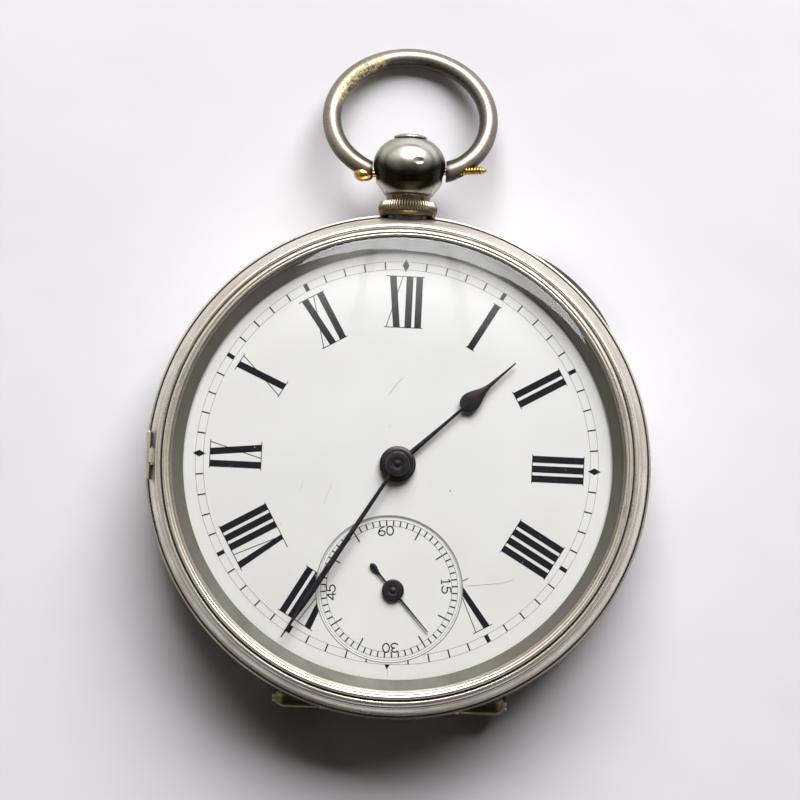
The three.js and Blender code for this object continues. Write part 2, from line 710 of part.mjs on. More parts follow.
// The lever with its fork end towards the balance and its two arms towards the escape wheel.
function palletFork() {
  const shape = outline([
    [3.45, -0.55], [3.3, -0.2], [2.9, -0.2], [2.9, 0.2], [3.3, 0.2], [3.45, 0.55], [2.7, 0.4],
    [0.5, 0.3], [-0.1, 1.9], [-0.85, 2.0], [-0.85, 1.55], [-0.4, 0.4], [-0.4, -0.4],
    [-0.85, -1.55], [-0.85, -2.0], [-0.1, -1.9], [0.5, -0.3], [2.7, -0.4],
  ].reverse());
  return cut(slab(shape, 5.45, 5.7), rod(0.22, 5, 6));
}

const palletArbor = () => shaft([[0.2, 4.7, 5.1], [0.21, 5.1, 6.4], [0.2, 6.4, 7.5]]);

function balanceWheel() {
  const rim = ring([[6.3, 3.65], [7, 3.65], [7, 4.2], [6.3, 4.2]], drumSegments);
  const bar = block([-6.5, 6.5], [-0.4, 0.4], [3.75, 4.05]);
  const screws = [22.5, 67.5, 112.5, 157.5].flatMap((degrees) => [degrees, degrees + 180])
    .map((degrees) => rod(0.25, 6.9, 7.25, 'x', 6).translate([0, 0, 3.92]).rotate([0, 0, degrees]));
  return cut(join(rim, bar, rod(0.8, 3.75, 4.05), ...screws), rod(0.37, 3, 5));
}

const balanceStaff = () => shaft([[0.15, 2.7, 3.5], [0.35, 3.5, 5.7], [0.2, 5.7, 7.5]]);

function roller() {
  const pin = rod(0.15, 5.2, 5.36, 'z', 8).translate([0.9, 0, 0]);
  return cut(join(rod(1.2, 5.0, 5.28, 'z', 20), pin), rod(0.37, 4, 6));
}

function regulator() {
  const pointer = outline([[0.9, -0.35], [5.2, -0.1], [5.2, 0.1], [0.9, 0.35]]);
  return cut(join(rod(1.5, 2.1, 2.38, 'z', 20), slab(pointer, 2.1, 2.38)), rod(0.85, 1, 4));
}

function cannonPinion() {
  const tube = rod(0.75, plateTop + 0.15, 10.9);
  const teeth = leaves(
    cannonLeaves, gapTowards(centreAt, minuteWheelAt, cannonLeaves), plateTop + 0.15, 8.25,
  );
  return cut(join(tube, teeth), rod(0.5, 7, 12));
}

function minuteWheelAndPinion() {
  const wheel = leaves(minuteWheel, directionTo(minuteWheelAt, centreAt), 7.9, 8.15);
  const pinion = leaves(minutePinion, gapTowards(minuteWheelAt, centreAt, minutePinion), 8.1, 8.7);
  return cut(join(wheel, pinion), rod(0.35, 7, 9));
}

function hourWheelAndPipe() {
  const wheel = leaves(hourWheel, directionTo(centreAt, minuteWheelAt), 8.35, 8.6);
  return cut(join(wheel, rod(1.15, 8.35, 10.05, 'z', 16)), rod(0.85, 7, 11, 'z', 16));
}

// ---------------------------------------------------------------- hands

// A hand along +X: the outline's upper edge from boss to tip, mirrored for the lower one.
function hand(upperEdge, { bossRadius, bossFrom, bossTo, bladeFrom, bladeTo, bore }) {
  const lowerEdge = upperEdge.map(([x, y]) => [x, -y]);
  const blade = slab(outline([...lowerEdge, ...upperEdge.reverse()]), bladeFrom, bladeTo);
  const boss = rod(bossRadius, bossFrom, bossTo, 'z', 20);
  return cut(join(blade, boss), rod(bore, bossFrom - 1, bossTo + 1, 'z', 16));
}

const hourHand = () => hand([
  [0.5, 0.28], [8.4, 0.15], [8.9, 0.55], [9.5, 0.88], [10.1, 0.88], [10.8, 0.55], [12, 0.26],
  [15.2, 0.1],
], { bossRadius: 1.8, bossFrom: 9.9, bossTo: 10.28, bladeFrom: 10.05, bladeTo: 10.2, bore: 1.2 });

const minuteHand = () => hand([
  [0.5, 0.19], [15.2, 0.38], [17.5, 0.28], [20.3, 0.08],
], { bossRadius: 1.23, bossFrom: 10.45, bossTo: 10.95, bladeFrom: 10.5, bladeTo: 10.65, bore: 0.8 });

const secondsHand = () => hand([
  [-3.5, 0.1], [-3.2, 0.35], [-2.7, 0.35], [-1.9, 0.12], [1, 0.14], [5.3, 0.07],
], { bossRadius: 1.1, bossFrom: 9.62, bossTo: 9.92, bladeFrom: 9.62, bladeTo: 9.74, bore: 0.2 });

// ---------------------------------------------------------------- assembly

const pendantGroup = groupAt(0, 0, pendantHeight);
const atPlace = ([x, y]) => groupAt(x, y, 0);

piece('case_middle', caseMiddle(), silver, watch);
piece('back_cover', backCover(), silver, watch);
piece('cuvette', cuvette(), silver, watch);
piece('bezel', bezel(), silver, watch);
piece('glass', glass(), crystal, watch);
piece('lock_spring', lockSpring(), steel, watch);
piece('pendant', pendant(), silver, pendantGroup);
piece('pendant_collar', pendantCollar(), silver, pendantGroup);
piece('push_button', pushButton(), silver, pendantGroup);
const bowGroup = groupAt(0, bowAxis, 0, pendantGroup);
bowGroup.rotation.x = -bowDroop;
piece('bow', bow(), silverBow, bowGroup);
piece('bow_screw', bowScrew(), brass, bowGroup);

const backPin = rod(backPinRadius, -11.6, 11.6, 'x').translate([0, ...backPlace]);
piece('back_hinge_pin', backPin, steel, watch);
const cuvettePin = rod(smallPinRadius, -4.1, 4.1, 'x').translate([0, ...cuvettePlace]);
piece('cuvette_hinge_pin', cuvettePin, steel, watch);
const bezelPinEnd = bezelHinge.length / 2 - 0.1;
const bezelPin = rod(smallPinRadius, -bezelPinEnd, bezelPinEnd, 'y')
  .translate([bezelPlace[0], 0, bezelPlace[1]]);
piece('bezel_hinge_pin', bezelPin, steel, watch);

piece('main_plate', mainPlate(), gilt, watch);
piece('barrel_bridge', barrelBridge(), gilt, watch);
piece('train_bridge', trainBridge(), gilt, watch);
piece('balance_cock', balanceCock(), gilt, watch);
piece('pallet_cock', palletCock(), gilt, watch);
piece('dial', dial(), enamel, watch);

const numbered = (name, places, make) => places.forEach((place, i) => (
  piece(`${name}_${i + 1}`, make(), steel, atPlace(place))
));
numbered('case_screw', caseScrewPlaces, caseScrew);
numbered('barrel_bridge_screw', barrelBridgeFeet, bridgeScrew);
numbered('train_bridge_screw', trainBridgeFeet, bridgeScrew);
const cockScrew = screw({ radius: 0.95, from: 2.3, to: 2.7 }, { radius: 0.5, to: 4.7 });
piece('balance_cock_screw', cockScrew, steel, atPlace(cockFootAt));

const barrelGroup = atPlace(barrelAt);
piece('barrel', barrelDrum(), gilt, barrelGroup);
piece('barrel_cover', barrelCover(), gilt, barrelGroup);
piece('mainspring', mainspring(), steel, barrelGroup);
piece('barrel_arbor', barrelArbor(), steel, barrelGroup);
piece('ratchet_wheel', ratchetWheel(), steel, barrelGroup);
piece('click', click(), steel, atPlace(clickAt));
piece('click_spring', clickSpring(), steel, groupAt(5.4, -1.4, 0, barrelGroup));

const centreWheelBody = wheelOf(centreWheel, centreAt, thirdAt, 5.65, 5.95, 0.72);
piece('centre_wheel', centreWheelBody, gilt, watch);
piece('centre_arbor', centreArbor(), steel, watch);
piece('cannon_pinion', cannonPinion(), steel, watch);
piece('hour_wheel', hourWheelAndPipe(), gilt, watch);
piece('minute_wheel', minuteWheelAndPinion(), gilt, atPlace(minuteWheelAt));

const thirdGroup = atPlace(thirdAt);
piece('third_wheel', wheelOf(thirdWheel, thirdAt, fourthAt, 4.8, 5.1, 0.37), gilt, thirdGroup);
piece('third_arbor', thirdArbor(), steel, thirdGroup);

const fourthGroup = atPlace(fourthAt);
piece('fourth_wheel', wheelOf(fourthWheel, fourthAt, escapeAt, 3.9, 4.2, 0.37), gilt, fourthGroup);
piece('fourth_arbor', fourthArbor(), steel, fourthGroup);

const escapeGroup = atPlace(escapeAt);
piece('escape_wheel', escapeWheel(), steel, escapeGroup);
piece('escape_arbor', escapeArbor(), steel, escapeGroup);

const palletGroup = atPlace(palletAt);
palletGroup.rotation.z = directionTo(palletAt, balanceAt);
piece('pallet_fork', palletFork(), steel, palletGroup);
piece('pallet_arbor', palletArbor(), steel, palletGroup);

const balanceGroup = atPlace(balanceAt);
balanceGroup.rotation.z = directionTo(balanceAt, palletAt);
piece('balance_wheel', balanceWheel(), gilt, balanceGroup);
piece('balance_staff', balanceStaff(), steel, balanceGroup);
piece('roller', roller(), steel, balanceGroup);

const springGroup = atPlace(balanceAt);
piece('hairspring', hairspring(), bluedSteel, springGroup);
piece('hairspring_stud', hairspringStud(), steel, springGroup);
const regulatorGroup = atPlace(balanceAt);
regulatorGroup.rotation.z = THREE.MathUtils.degToRad(100);
piece('regulator', regulator(), steel, regulatorGroup);

// The hands stand at 1:35 and 23 seconds.
const clockwiseFromTwelve = (degrees) => THREE.MathUtils.degToRad(90 - degrees);
const handAt = (name, body, degrees, parent) => {
  piece(name, body, bluedSteel, parent).rotation.z = clockwiseFromTwelve(degrees);
};
handAt('hour_hand', hourHand(), 47.3, watch);
handAt('minute_hand', minuteHand(), 211.8, watch);
handAt('seconds_hand', secondsHand(), 138, fourthGroup);

export default watch;
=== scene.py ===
"""The open face pocket watch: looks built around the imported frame, in metres."""
import json
import math
import random

import bmesh
import bpy
from mathutils import Matrix, Vector

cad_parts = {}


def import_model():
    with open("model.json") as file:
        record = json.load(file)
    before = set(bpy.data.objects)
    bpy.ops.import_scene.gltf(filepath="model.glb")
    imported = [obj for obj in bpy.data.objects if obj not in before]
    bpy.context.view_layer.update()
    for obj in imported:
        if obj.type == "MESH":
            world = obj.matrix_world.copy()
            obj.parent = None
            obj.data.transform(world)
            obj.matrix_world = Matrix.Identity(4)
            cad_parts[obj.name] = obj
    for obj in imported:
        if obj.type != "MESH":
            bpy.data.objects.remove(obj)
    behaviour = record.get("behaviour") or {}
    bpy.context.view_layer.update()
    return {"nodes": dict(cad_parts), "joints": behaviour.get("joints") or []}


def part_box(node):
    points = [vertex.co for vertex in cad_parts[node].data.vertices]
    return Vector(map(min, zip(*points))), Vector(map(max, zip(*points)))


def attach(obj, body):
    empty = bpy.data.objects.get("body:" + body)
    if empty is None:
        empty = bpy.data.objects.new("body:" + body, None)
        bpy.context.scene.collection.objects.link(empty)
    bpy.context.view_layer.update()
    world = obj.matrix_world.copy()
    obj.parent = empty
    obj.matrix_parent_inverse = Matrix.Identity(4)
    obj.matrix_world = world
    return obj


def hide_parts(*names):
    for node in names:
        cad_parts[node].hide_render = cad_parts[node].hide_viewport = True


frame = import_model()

MM = 0.001
NODES = frame["nodes"]
RING = 288

# ------------------------------------------------------------------ sizes from the frame


def low(node):
    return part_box(node)[0] / MM


def high(node):
    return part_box(node)[1] / MM


def middle_of(node):
    return (low(node) + high(node)) / 2


def joint_at(name):
    return Vector(JOINTS[name]["pos_m"]) / MM


JOINTS = {joint["name"]: joint for joint in frame["joints"]}
CASE_RADIUS = high("case_middle").x
BAND_BORE = 22.0
LEDGE_BORE = 20.6
BAND_TOP = 9.2
BACK_JOINT = 3.3
BEZEL_RADIUS = high("bezel").x
BEZEL_TOP = high("bezel").z
BEZEL_BOTTOM = high("dial").z - 0.2
GLASS_TOP = high("glass").z
DIAL_RADIUS = high("dial").x
DIAL_TOP = high("dial").z
DIAL_BOTTOM = DIAL_TOP - 0.7
APERTURE = BEZEL_RADIUS - 1.65
WALL_FOOT = APERTURE - 1.25
SECONDS_AT = Vector((0, middle_of("fourth_arbor").y, 0))
PENDANT_Z = middle_of("push_button").z
BALL_RADIUS = high("pendant").x
BALL_Y = 29.9
BALL_TALL = 3.0
BALL_TOP = high("pendant").y
BALL_SIDE = 3.7
BALL_SAG = 0.13
FOOT_FACE = BALL_SIDE - 0.06
KNURLS = 64
BUTTON_TOP = high("push_button").y - 0.2
BOW_HALF = high("bow").x

BOW_AXIS = joint_at("bow_swing")
BOW_WIRE = 0.9
BOW_REACH = high("bow").y - BOW_WIRE - BOW_AXIS.y
BOW_DROP = PENDANT_Z - BOW_WIRE - low("bow").z
BOW_LENGTH = math.hypot(BOW_REACH, BOW_DROP)
BOW_DROOP = math.degrees(math.atan2(BOW_DROP, BOW_REACH))
BOW_TALL = BOW_LENGTH * 0.544
BACK_HINGE = joint_at("back_open")
CUVETTE_HINGE = joint_at("cuvette_open")
BEZEL_HINGE = joint_at("bezel_open")
KNUCKLE_GAP = 0.15
BACK_BARREL = 1.1
BACK_HINGE_LENGTH = 23.3
BACK_KNUCKLE = BACK_HINGE_LENGTH / 5
BEZEL_HINGE_LENGTH = 4.8
BEZEL_BARREL = 0.22
HINGE_CHORD = -21.95
KEY_HOLE = 1.7

# ------------------------------------------------------------------ mesh building


def linked(name, data):
    """A new object in the scene."""
    made = bpy.data.objects.new(name, data)
    bpy.context.scene.collection.objects.link(made)
    return made


def finish_mesh(name, mesh, body, material, node=None, sharp=32):
    """An object from a mesh in millimetres, which rides on a body and may replace a CAD node."""
    mesh.transform(Matrix.Scale(MM, 4))
    mesh.update()
    mesh.shade_smooth()
    mesh.set_sharp_from_angle(angle=math.radians(sharp))
    piece = linked(name, mesh)
    piece.data.materials.append(material)
    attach(piece, body)
    if node:
        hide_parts(node)
    return piece


def mesh_of(vertices, faces):
    """A mesh with shared points merged and all faces turned out."""
    mesh = bpy.data.meshes.new("made")
    mesh.from_pydata([tuple(v) for v in vertices], [], faces)
    work = bmesh.new()
    work.from_mesh(mesh)
    bmesh.ops.remove_doubles(work, verts=work.verts, dist=1e-6)
    bmesh.ops.recalc_face_normals(work, faces=work.faces)
    work.to_mesh(mesh)
    work.free()
    return mesh


def joined(*meshes):
    """Several meshes as one, without cutting them."""
    work = bmesh.new()
    for mesh in meshes:
        work.from_mesh(mesh)
    mesh = bpy.data.meshes.new("joined")
    work.to_mesh(mesh)
    work.free()
    return mesh


def moved(mesh, offset=(0, 0, 0), turn=0.0, axis="Z"):
    """The same mesh turned by an angle in degrees, then moved."""
    matrix = Matrix.Translation(Vector(offset)) @ Matrix.Rotation(math.radians(turn), 4, axis)
    mesh.transform(matrix)
    return mesh


AXIS_TURN = {
    "Z": Matrix.Identity(4),
    "Y": Matrix.Rotation(math.radians(-90), 4, "X"),
    "X": Matrix.Rotation(math.radians(90), 4, "Y"),
}


def lathe(profile, axis="Z", segments=RING, centre=(0, 0, 0), ripple=None):
    """A closed profile of [radius, height] points turned about an axis. Points at radius 0 meet."""
    vertices, faces = [], []
    count = len(profile)
    for i in range(segments):
        angle = 2 * math.pi * i / segments
        for j, (radius, height) in enumerate(profile):
            r = radius + (ripple(i, j) if ripple else 0)
            vertices.append((r * math.cos(angle), r * math.sin(angle), height))
    for i in range(segments):
        a, b = i * count, ((i + 1) % segments) * count
        for j in range(count):
            k = (j + 1) % count
            if profile[j][0] < 1e-9 and profile[k][0] < 1e-9:
                continue
            faces.append((a + j, b + j, b + k, a + k))
    mesh = mesh_of(vertices, faces)
    mesh.transform(Matrix.Translation(Vector(centre)) @ AXIS_TURN[axis])
    return mesh


def softened(profile, radius, steps=4):
    """The profile with its corners rounded, except those on the axis."""
    points, count = [], len(profile)
    for i in range(count):
        corner = Vector(profile[i])
        before, after = Vector(profile[i - 1]), Vector(profile[(i + 1) % count])
        to_before, to_after = before - corner, after - corner
        reach = min(radius, to_before.length * 0.45, to_after.length * 0.45)
        if corner.x < 1e-6 or reach < 1e-6:
            points.append(tuple(corner))
            continue
        start = corner + to_before.normalized() * reach
        end = corner + to_after.normalized() * reach
        for s in range(steps + 1):
            t = s / steps
            point = start * (1 - t) ** 2 + corner * (2 * t * (1 - t)) + end * t ** 2
            points.append(tuple(point))
    return points


def ellipse(centre, radii, start, stop, steps=14):
    """Points on an ellipse from one angle to another, in degrees."""
    points = []
    for i in range(steps + 1):
        angle = math.radians(start + (stop - start) * i / steps)
        points.append((centre[0] + radii[0] * math.cos(angle), centre[1] + radii[1] * math.sin(angle)))
    return points


def rod(radius, start, stop, axis="Z", centre=(0, 0, 0), segments=48, soft=0.08):
    """A solid cylinder between two places on an axis, with softened edges."""
    profile = softened([(0, start), (radius, start), (radius, stop), (0, stop)], soft)
    return lathe(profile, axis, segments, centre)


def prism(points, bottom, top):
    """A flat outline raised from bottom to top."""
    count = len(points)
    vertices = [(x, y, bottom) for x, y in points] + [(x, y, top) for x, y in points]
    faces = [tuple(range(count)), tuple(range(count, 2 * count))]
    for i in range(count):
        j = (i + 1) % count
        faces.append((i, j, count + j, count + i))
    return mesh_of(vertices, faces)


def block(x, y, z):
    """A box from three [low, high] spans."""
    return prism([(x[0], y[0]), (x[1], y[0]), (x[1], y[1]), (x[0], y[1])], z[0], z[1])


def boolean(mesh, cutter, operation="DIFFERENCE"):
    """mesh cut by, or joined to, another mesh."""
    objects = [linked("boolean", source) for source in (mesh, cutter)]
    modifier = objects[0].modifiers.new("boolean", "BOOLEAN")
    modifier.operation = operation
    modifier.solver = "EXACT"
    modifier.object = objects[1]
    bpy.context.view_layer.update()
    graph = bpy.context.evaluated_depsgraph_get()
    result = bpy.data.meshes.new_from_object(objects[0].evaluated_get(graph))
    for item in objects:
        bpy.data.objects.remove(item)
    return result


def cut(mesh, *cutters):
    for cutter in cutters:
        mesh = boolean(mesh, cutter)
    return mesh


def fused(mesh, *others):
    for other in others:
        mesh = boolean(mesh, other, "UNION")
    return mesh

# ------------------------------------------------------------------ materials


class Nodes:
    """A node tree, with short calls for the nodes used here."""

    def __init__(self, tree, place):
        self.tree = tree
        self.place = self.node("ShaderNodeTexCoord").outputs[place]

    def node(self, kind, **inputs):
        made = self.tree.nodes.new(kind)
        for key, value in inputs.items():
            self.feed(made.inputs[key.replace("_", " ")], value)
        return made

    def feed(self, socket, value):
        if isinstance(value, bpy.types.NodeSocket):
            self.tree.links.new(value, socket)
        else:
            socket.default_value = value

    def scaled(self, stretch):
        mapping = self.node("ShaderNodeMapping", Vector=self.place)
        mapping.inputs["Scale"].default_value = stretch
        return mapping.outputs["Vector"]

    def noise(self, scale, detail=4.0, roughness=0.55, stretch=None, distortion=0.0):
        """Noise with `scale` features per millimetre."""
        where = self.scaled(stretch) if stretch else self.place
        made = self.node(
            "ShaderNodeTexNoise", Vector=where, Scale=scale / MM, Detail=detail,
            Roughness=roughness, Distortion=distortion,
        )
        return made.outputs["Fac"]

    def cells(self, scale):
        """The distance to the nearest of scattered points, `scale` per millimetre."""
        made = self.node("ShaderNodeTexVoronoi", Vector=self.place, Scale=scale / MM)
        return made.outputs["Distance"]

    def range(self, factor, low_in, high_in, low_out, high_out):
        made = self.node(
            "ShaderNodeMapRange", Value=factor, From_Min=low_in, From_Max=high_in,
            To_Min=low_out, To_Max=high_out,
        )
        return made.outputs["Result"]

    def ordered(self, kind, *values):
        """A node whose inputs are fed in order."""
        made = self.tree.nodes.new(kind)
        for socket, value in zip(made.inputs, values):
            self.feed(socket, value)
        return made

    def math(self, operation, first, second=0.0, clamp=True):
        """A sum on two values. Products and sums are kept between 0 and 1 unless clamp is off."""
        made = self.ordered("ShaderNodeMath", first, second)
        made.operation = operation
        made.use_clamp = operation in ("MULTIPLY", "ADD") and clamp
        return made.outputs["Value"]

    def scale_of(self, value, centre, half):
        """How far a place in millimetres is from a centre, in halves."""
        made = self.ordered("ShaderNodeMath", value, 1 / (half * MM), -centre / half)
        made.operation = "MULTIPLY_ADD"
        return made.outputs["Value"]

    def length_of(self, first, second):
        """The length of the vector of two values."""
        both = self.node("ShaderNodeCombineXYZ", X=first, Y=second)
        made = self.ordered("ShaderNodeVectorMath", both.outputs["Vector"])
        made.operation = "LENGTH"
        return made.outputs["Value"]

    def mix(self, factor, first, second):
        made = self.tree.nodes.new("ShaderNodeMix")
        made.data_type = "RGBA"
        self.feed(made.inputs["Factor"], factor)
        for socket, value in (("A", first), ("B", second)):
            colour = value if isinstance(value, bpy.types.NodeSocket) else (*value, 1)
            self.feed([s for s in made.inputs if s.name == socket and s.type == "RGBA"][0], colour)
        return [s for s in made.outputs if s.type == "RGBA"][0]

    def smooth(self, value, start, stop, low_out=0.0, high_out=1.0):
        made = self.tree.nodes.new("ShaderNodeMapRange")
        made.interpolation_type = "SMOOTHSTEP"
        keys = ("Value", "From Min", "From Max", "To Min", "To Max")
        for key, number in zip(keys, (value, start, stop, low_out, high_out)):
            self.feed(made.inputs[key], number)
        return made.outputs["Result"]


class Shader(Nodes):
    """A material on the Principled surface."""

    def __init__(self, name):
        self.material = bpy.data.materials.new(name)
        self.material.use_nodes = True
        super().__init__(self.material.node_tree, "Object")
        self.surface = self.tree.nodes["Principled BSDF"]
        self.output = self.tree.nodes["Material Output"]
        self.facing = self.node("ShaderNodeTexCoord").outputs["Normal"]

    def crevice(self, reach):
        """1 in the open and lower in crevices narrower than `reach` millimetres."""
        made = self.node("ShaderNodeAmbientOcclusion", Distance=reach * MM)
        made.samples = 6
        return made.outputs["AO"]

    def bump(self, *heights):
        """Bumps of [height, strength, depth in millimetres], one over another."""
        normal = None
        for height, strength, depth in heights:
            made = self.node("ShaderNodeBump", Height=height, Strength=strength, Distance=depth * MM)
            if normal:
                self.feed(made.inputs["Normal"], normal)
            normal = made.outputs["Normal"]
        self.feed(self.surface.inputs["Normal"], normal)

    def set(self, **inputs):
        for key, value in inputs.items():
            socket = self.surface.inputs[key.replace("_", " ")]
            if isinstance(value, tuple) and len(value) == 3:
                value = (*value, 1)
            self.feed(socket, value)
        return self.material


def silver(name, tone, tarnish, roughness, soil=0.8, scratch=0.5, band=None, within=0.0):
    """Worn silver: cloudy tarnish, dark soil in the crevices, and fine scratches both ways.

    `band` gives four places on Y: below the first two the metal is painted darker as painted shade, and
    between the outer two, on a curve that sags at the sides, it is painted near black as a painted dark
    reflection; `within` is a radius about Z inside which the metal is painted a dull dark brown as painted
    shade, and made rougher and less metallic.
    """
    s = Shader(name)
    cloud = s.noise(0.22, 6, 0.6, distortion=0.4)
    fine = s.noise(3.5, 5, 0.6)
    base = s.mix(s.range(cloud, 0.42, 0.7, 0, 0.75), tone, tarnish)
    base = s.mix(s.range(fine, 0.5, 0.75, 0, 0.3), base, tarnish)
    place = s.node("ShaderNodeSeparateXYZ", Vector=s.place)
    metallic, extra = 0.9, 0.0
    if band:
        # Painted shade and painted reflection: darker below the band's first places, and near black between
        # them on a curve that sags at the sides.
        start, full, fading, stop = (y * MM for y in band)
        sag = s.math("MULTIPLY", s.math("POWER", s.math("ABSOLUTE", place.outputs["X"]), 2.0), BALL_SAG / MM)
        level = s.math("SUBTRACT", place.outputs["Y"], sag)
        dark = s.math("MULTIPLY", s.smooth(level, start, full), s.smooth(level, fading, stop, 1.0, 0.0))
        base = s.mix(s.smooth(place.outputs["Y"], start, full, 0.92, 0.0), base, (0.10, 0.085, 0.06))
        base = s.mix(dark, base, (0.012, 0.010, 0.005))
    if within:
        # Painted shade: the inner wall inside this radius is painted a dull dark brown, and is also made
        # rougher and less metallic.
        across, upward = (s.scale_of(place.outputs[axis], 0, within) for axis in "XY")
        wall = s.smooth(s.length_of(across, upward), 0.988, 0.996, 1.0, 0.0)
        base = s.mix(s.math("MULTIPLY", wall, 0.95), base, (0.105, 0.098, 0.08))
        metallic = s.range(wall, 0, 1, 0.8, 0.48)
        extra = s.math("MULTIPLY", wall, 0.25)
    open_air = s.crevice(0.9)
    dirt = s.range(open_air, 0.35, 0.85, soil, 0)
    base = s.mix(dirt, base, (0.06, 0.045, 0.035))
    along = s.noise(2.2, 3, 0.5, stretch=(1, 9, 1))
    across = s.noise(2.2, 3, 0.5, stretch=(9, 1, 1))
    rough = s.math("ADD", s.range(cloud, 0.35, 0.7, roughness * 0.75, roughness * 1.5), extra)
    s.bump((along, 0.10 * scratch, 0.02), (across, 0.10 * scratch, 0.02), (fine, 0.12 * scratch, 0.03))
    return s.set(Base_Color=base, Metallic=metallic, Roughness=rough)


def plain_metal(name, tone, shade, roughness, grain=5.0, soil=0.6, metallic=1.0):
    """Metal in two cloudy tones with a fine grain and soil in its crevices."""
    s = Shader(name)
    cloud = s.noise(0.5, 5, 0.6)
    fine = s.noise(grain, 4, 0.6)
    base = s.mix(s.range(cloud, 0.4, 0.7, 0, 0.8), tone, shade)
    base = s.mix(s.range(s.crevice(0.5), 0.3, 0.85, soil, 0), base, tuple(c * 0.25 for c in shade))
    rough = s.range(fine, 0.3, 0.7, roughness * 0.8, roughness * 1.25)
    s.bump((fine, 0.15, 0.02))
    return s.set(Base_Color=base, Metallic=metallic, Roughness=rough)


def knurled_metal(name):
    """Tarnished silver, with painted shade in the grooves between the knurling's crests and painted shade on
    its lower part towards the case.
    """
    s = Shader(name)
    fine = s.noise(4, 4, 0.6)
    base = s.mix(s.range(fine, 0.45, 0.7, 0, 0.6), (0.36, 0.31, 0.21), (0.2, 0.165, 0.10))
    place = s.node("ShaderNodeSeparateXYZ", Vector=s.place).outputs
    # Painted shade: the collar is darker low down, towards the case.
    base = s.mix(s.smooth(place["Y"], 25.35 * MM, 25.6 * MM, 0.9, 0.0), base, (0.07, 0.05, 0.03))
    sideways = s.scale_of(place["Z"], PENDANT_Z, 1.0)
    turn = s.math("ARCTAN2", sideways, s.scale_of(place["X"], 0, 1.0))
    crest = s.math("COSINE", s.math("MULTIPLY", turn, float(KNURLS), False))
    upper = s.smooth(place["Y"], 25.4 * MM, 25.5 * MM)
    # Painted shade in the grooves between the knurl's crests.
    groove = s.math("MULTIPLY", s.smooth(crest, -0.5, 0.5, 0.95, 0.0), upper)
    base = s.mix(groove, base, (0.03, 0.022, 0.01))
    base = s.mix(s.range(s.crevice(0.3), 0.4, 0.9, 1.0, 0), base, (0.04, 0.03, 0.015))
    s.bump((fine, 0.2, 0.02))
    return s.set(Base_Color=base, Metallic=1.0, Roughness=s.range(fine, 0.3, 0.7, 0.24, 0.4))


def bow_metal(name):
    """Worn silver with painted shade on the wire's flanks, on its side away from the window, on its inner
    edge and at its ends by the ball, and a flaking brassy streak on its upper left.
    """
    s = Shader(name)
    cloud = s.noise(0.35, 5, 0.6, distortion=0.3)
    fine = s.noise(4.5, 5, 0.65)
    pits = s.noise(2.2, 6, 0.75, distortion=1.0)
    base = s.mix(s.range(cloud, 0.4, 0.7, 0, 0.8), (0.29, 0.25, 0.21), (0.19, 0.155, 0.125))
    normal = s.node("ShaderNodeSeparateXYZ", Vector=s.facing)
    # Painted shade: the wire is darker on flanks that face sideways or down, and darker still on the side
    # that faces away from the window.
    base = s.mix(s.range(normal.outputs["Z"], 0.15, 0.8, 0.85, 0), base, (0.085, 0.065, 0.045))
    base = s.mix(s.range(normal.outputs["Y"], -0.6, 0.0, 0.95, 0), base, (0.035, 0.026, 0.018))
    split = s.node("ShaderNodeSeparateXYZ", Vector=s.place)
    middle = BOW_AXIS.y + BOW_REACH * (1 - BOW_TALL / BOW_LENGTH)
    across = s.scale_of(split.outputs["X"], 0, BOW_HALF - BOW_WIRE)
    upward = s.scale_of(split.outputs["Y"], middle, BOW_TALL * BOW_REACH / BOW_LENGTH)
    ring = s.length_of(across, upward)
    # Painted shade on the inner edge of the ring.
    base = s.mix(s.smooth(ring, 0.88, 0.985, 0.93, 0.0), base, (0.04, 0.03, 0.018))
    streak = s.math("MULTIPLY", s.smooth(ring, 0.89, 0.94), s.smooth(ring, 1.03, 1.09, 1.0, 0.0))
    left = s.math("MULTIPLY", s.smooth(across, -1.02, -0.9), s.smooth(across, -0.5, -0.25, 1.0, 0.0))
    patch = s.math("MULTIPLY", s.math("MULTIPLY", streak, left), s.smooth(upward, 0.1, 0.3))
    flakes = s.math("MULTIPLY", patch, s.smooth(pits, 0.45, 0.52))
    base = s.mix(s.math("MULTIPLY", patch, s.smooth(pits, 0.40, 0.46, 0.6, 0.0)), base, (0.07, 0.045, 0.02))
    base = s.mix(flakes, base, (0.74, 0.60, 0.32))
    # Painted shade: the wire's ends by the ball are painted near black for the shadow in the slot between
    # them.
    from_axis = s.math("ABSOLUTE", s.scale_of(split.outputs["X"], 0, BALL_SIDE))
    low_down = s.smooth(split.outputs["Y"], 33 * MM, 34 * MM, 1.0, 0.0)
    near_ball = s.math("MULTIPLY", s.smooth(from_axis, 1.0, 1.12, 0.95, 0.0), low_down)
    base = s.mix(near_ball, base, (0.012, 0.01, 0.008))
    base = s.mix(s.range(s.crevice(0.5), 0.4, 0.9, 0.7, 0), base, (0.06, 0.045, 0.03))
    rough = s.range(fine, 0.3, 0.7, 0.24, 0.36)
    s.bump((s.math("MULTIPLY", patch, pits), 1.0, 0.1), (fine, 0.14, 0.02))
    return s.set(Base_Color=base, Metallic=0.5, Roughness=rough)


def enamel_face(name):
    """Fired white enamel: glossy, faintly cloudy, with pin pricks and soft waves."""
    s = Shader(name)
    cloud = s.noise(0.12, 4, 0.5)
    specks = s.cells(0.42)
    size = s.noise(0.9, 2, 0.5)
    base = s.mix(s.range(cloud, 0.35, 0.7, 0, 1), (0.90, 0.895, 0.865), (0.86, 0.855, 0.82))
    dots = s.range(specks, 0.028, 0.05, 1, 0)
    dots = s.math("MULTIPLY", dots, s.range(size, 0.56, 0.6, 0, 0.75))
    base = s.mix(dots, base, (0.12, 0.10, 0.09))
    s.bump((s.noise(0.35, 2, 0.4), 0.06, 0.05), (s.noise(2.5, 3, 0.5), 0.03, 0.01))
    return s.set(Base_Color=base, Roughness=0.16, IOR=1.5, Coat_Weight=0.3, Coat_Roughness=0.04)


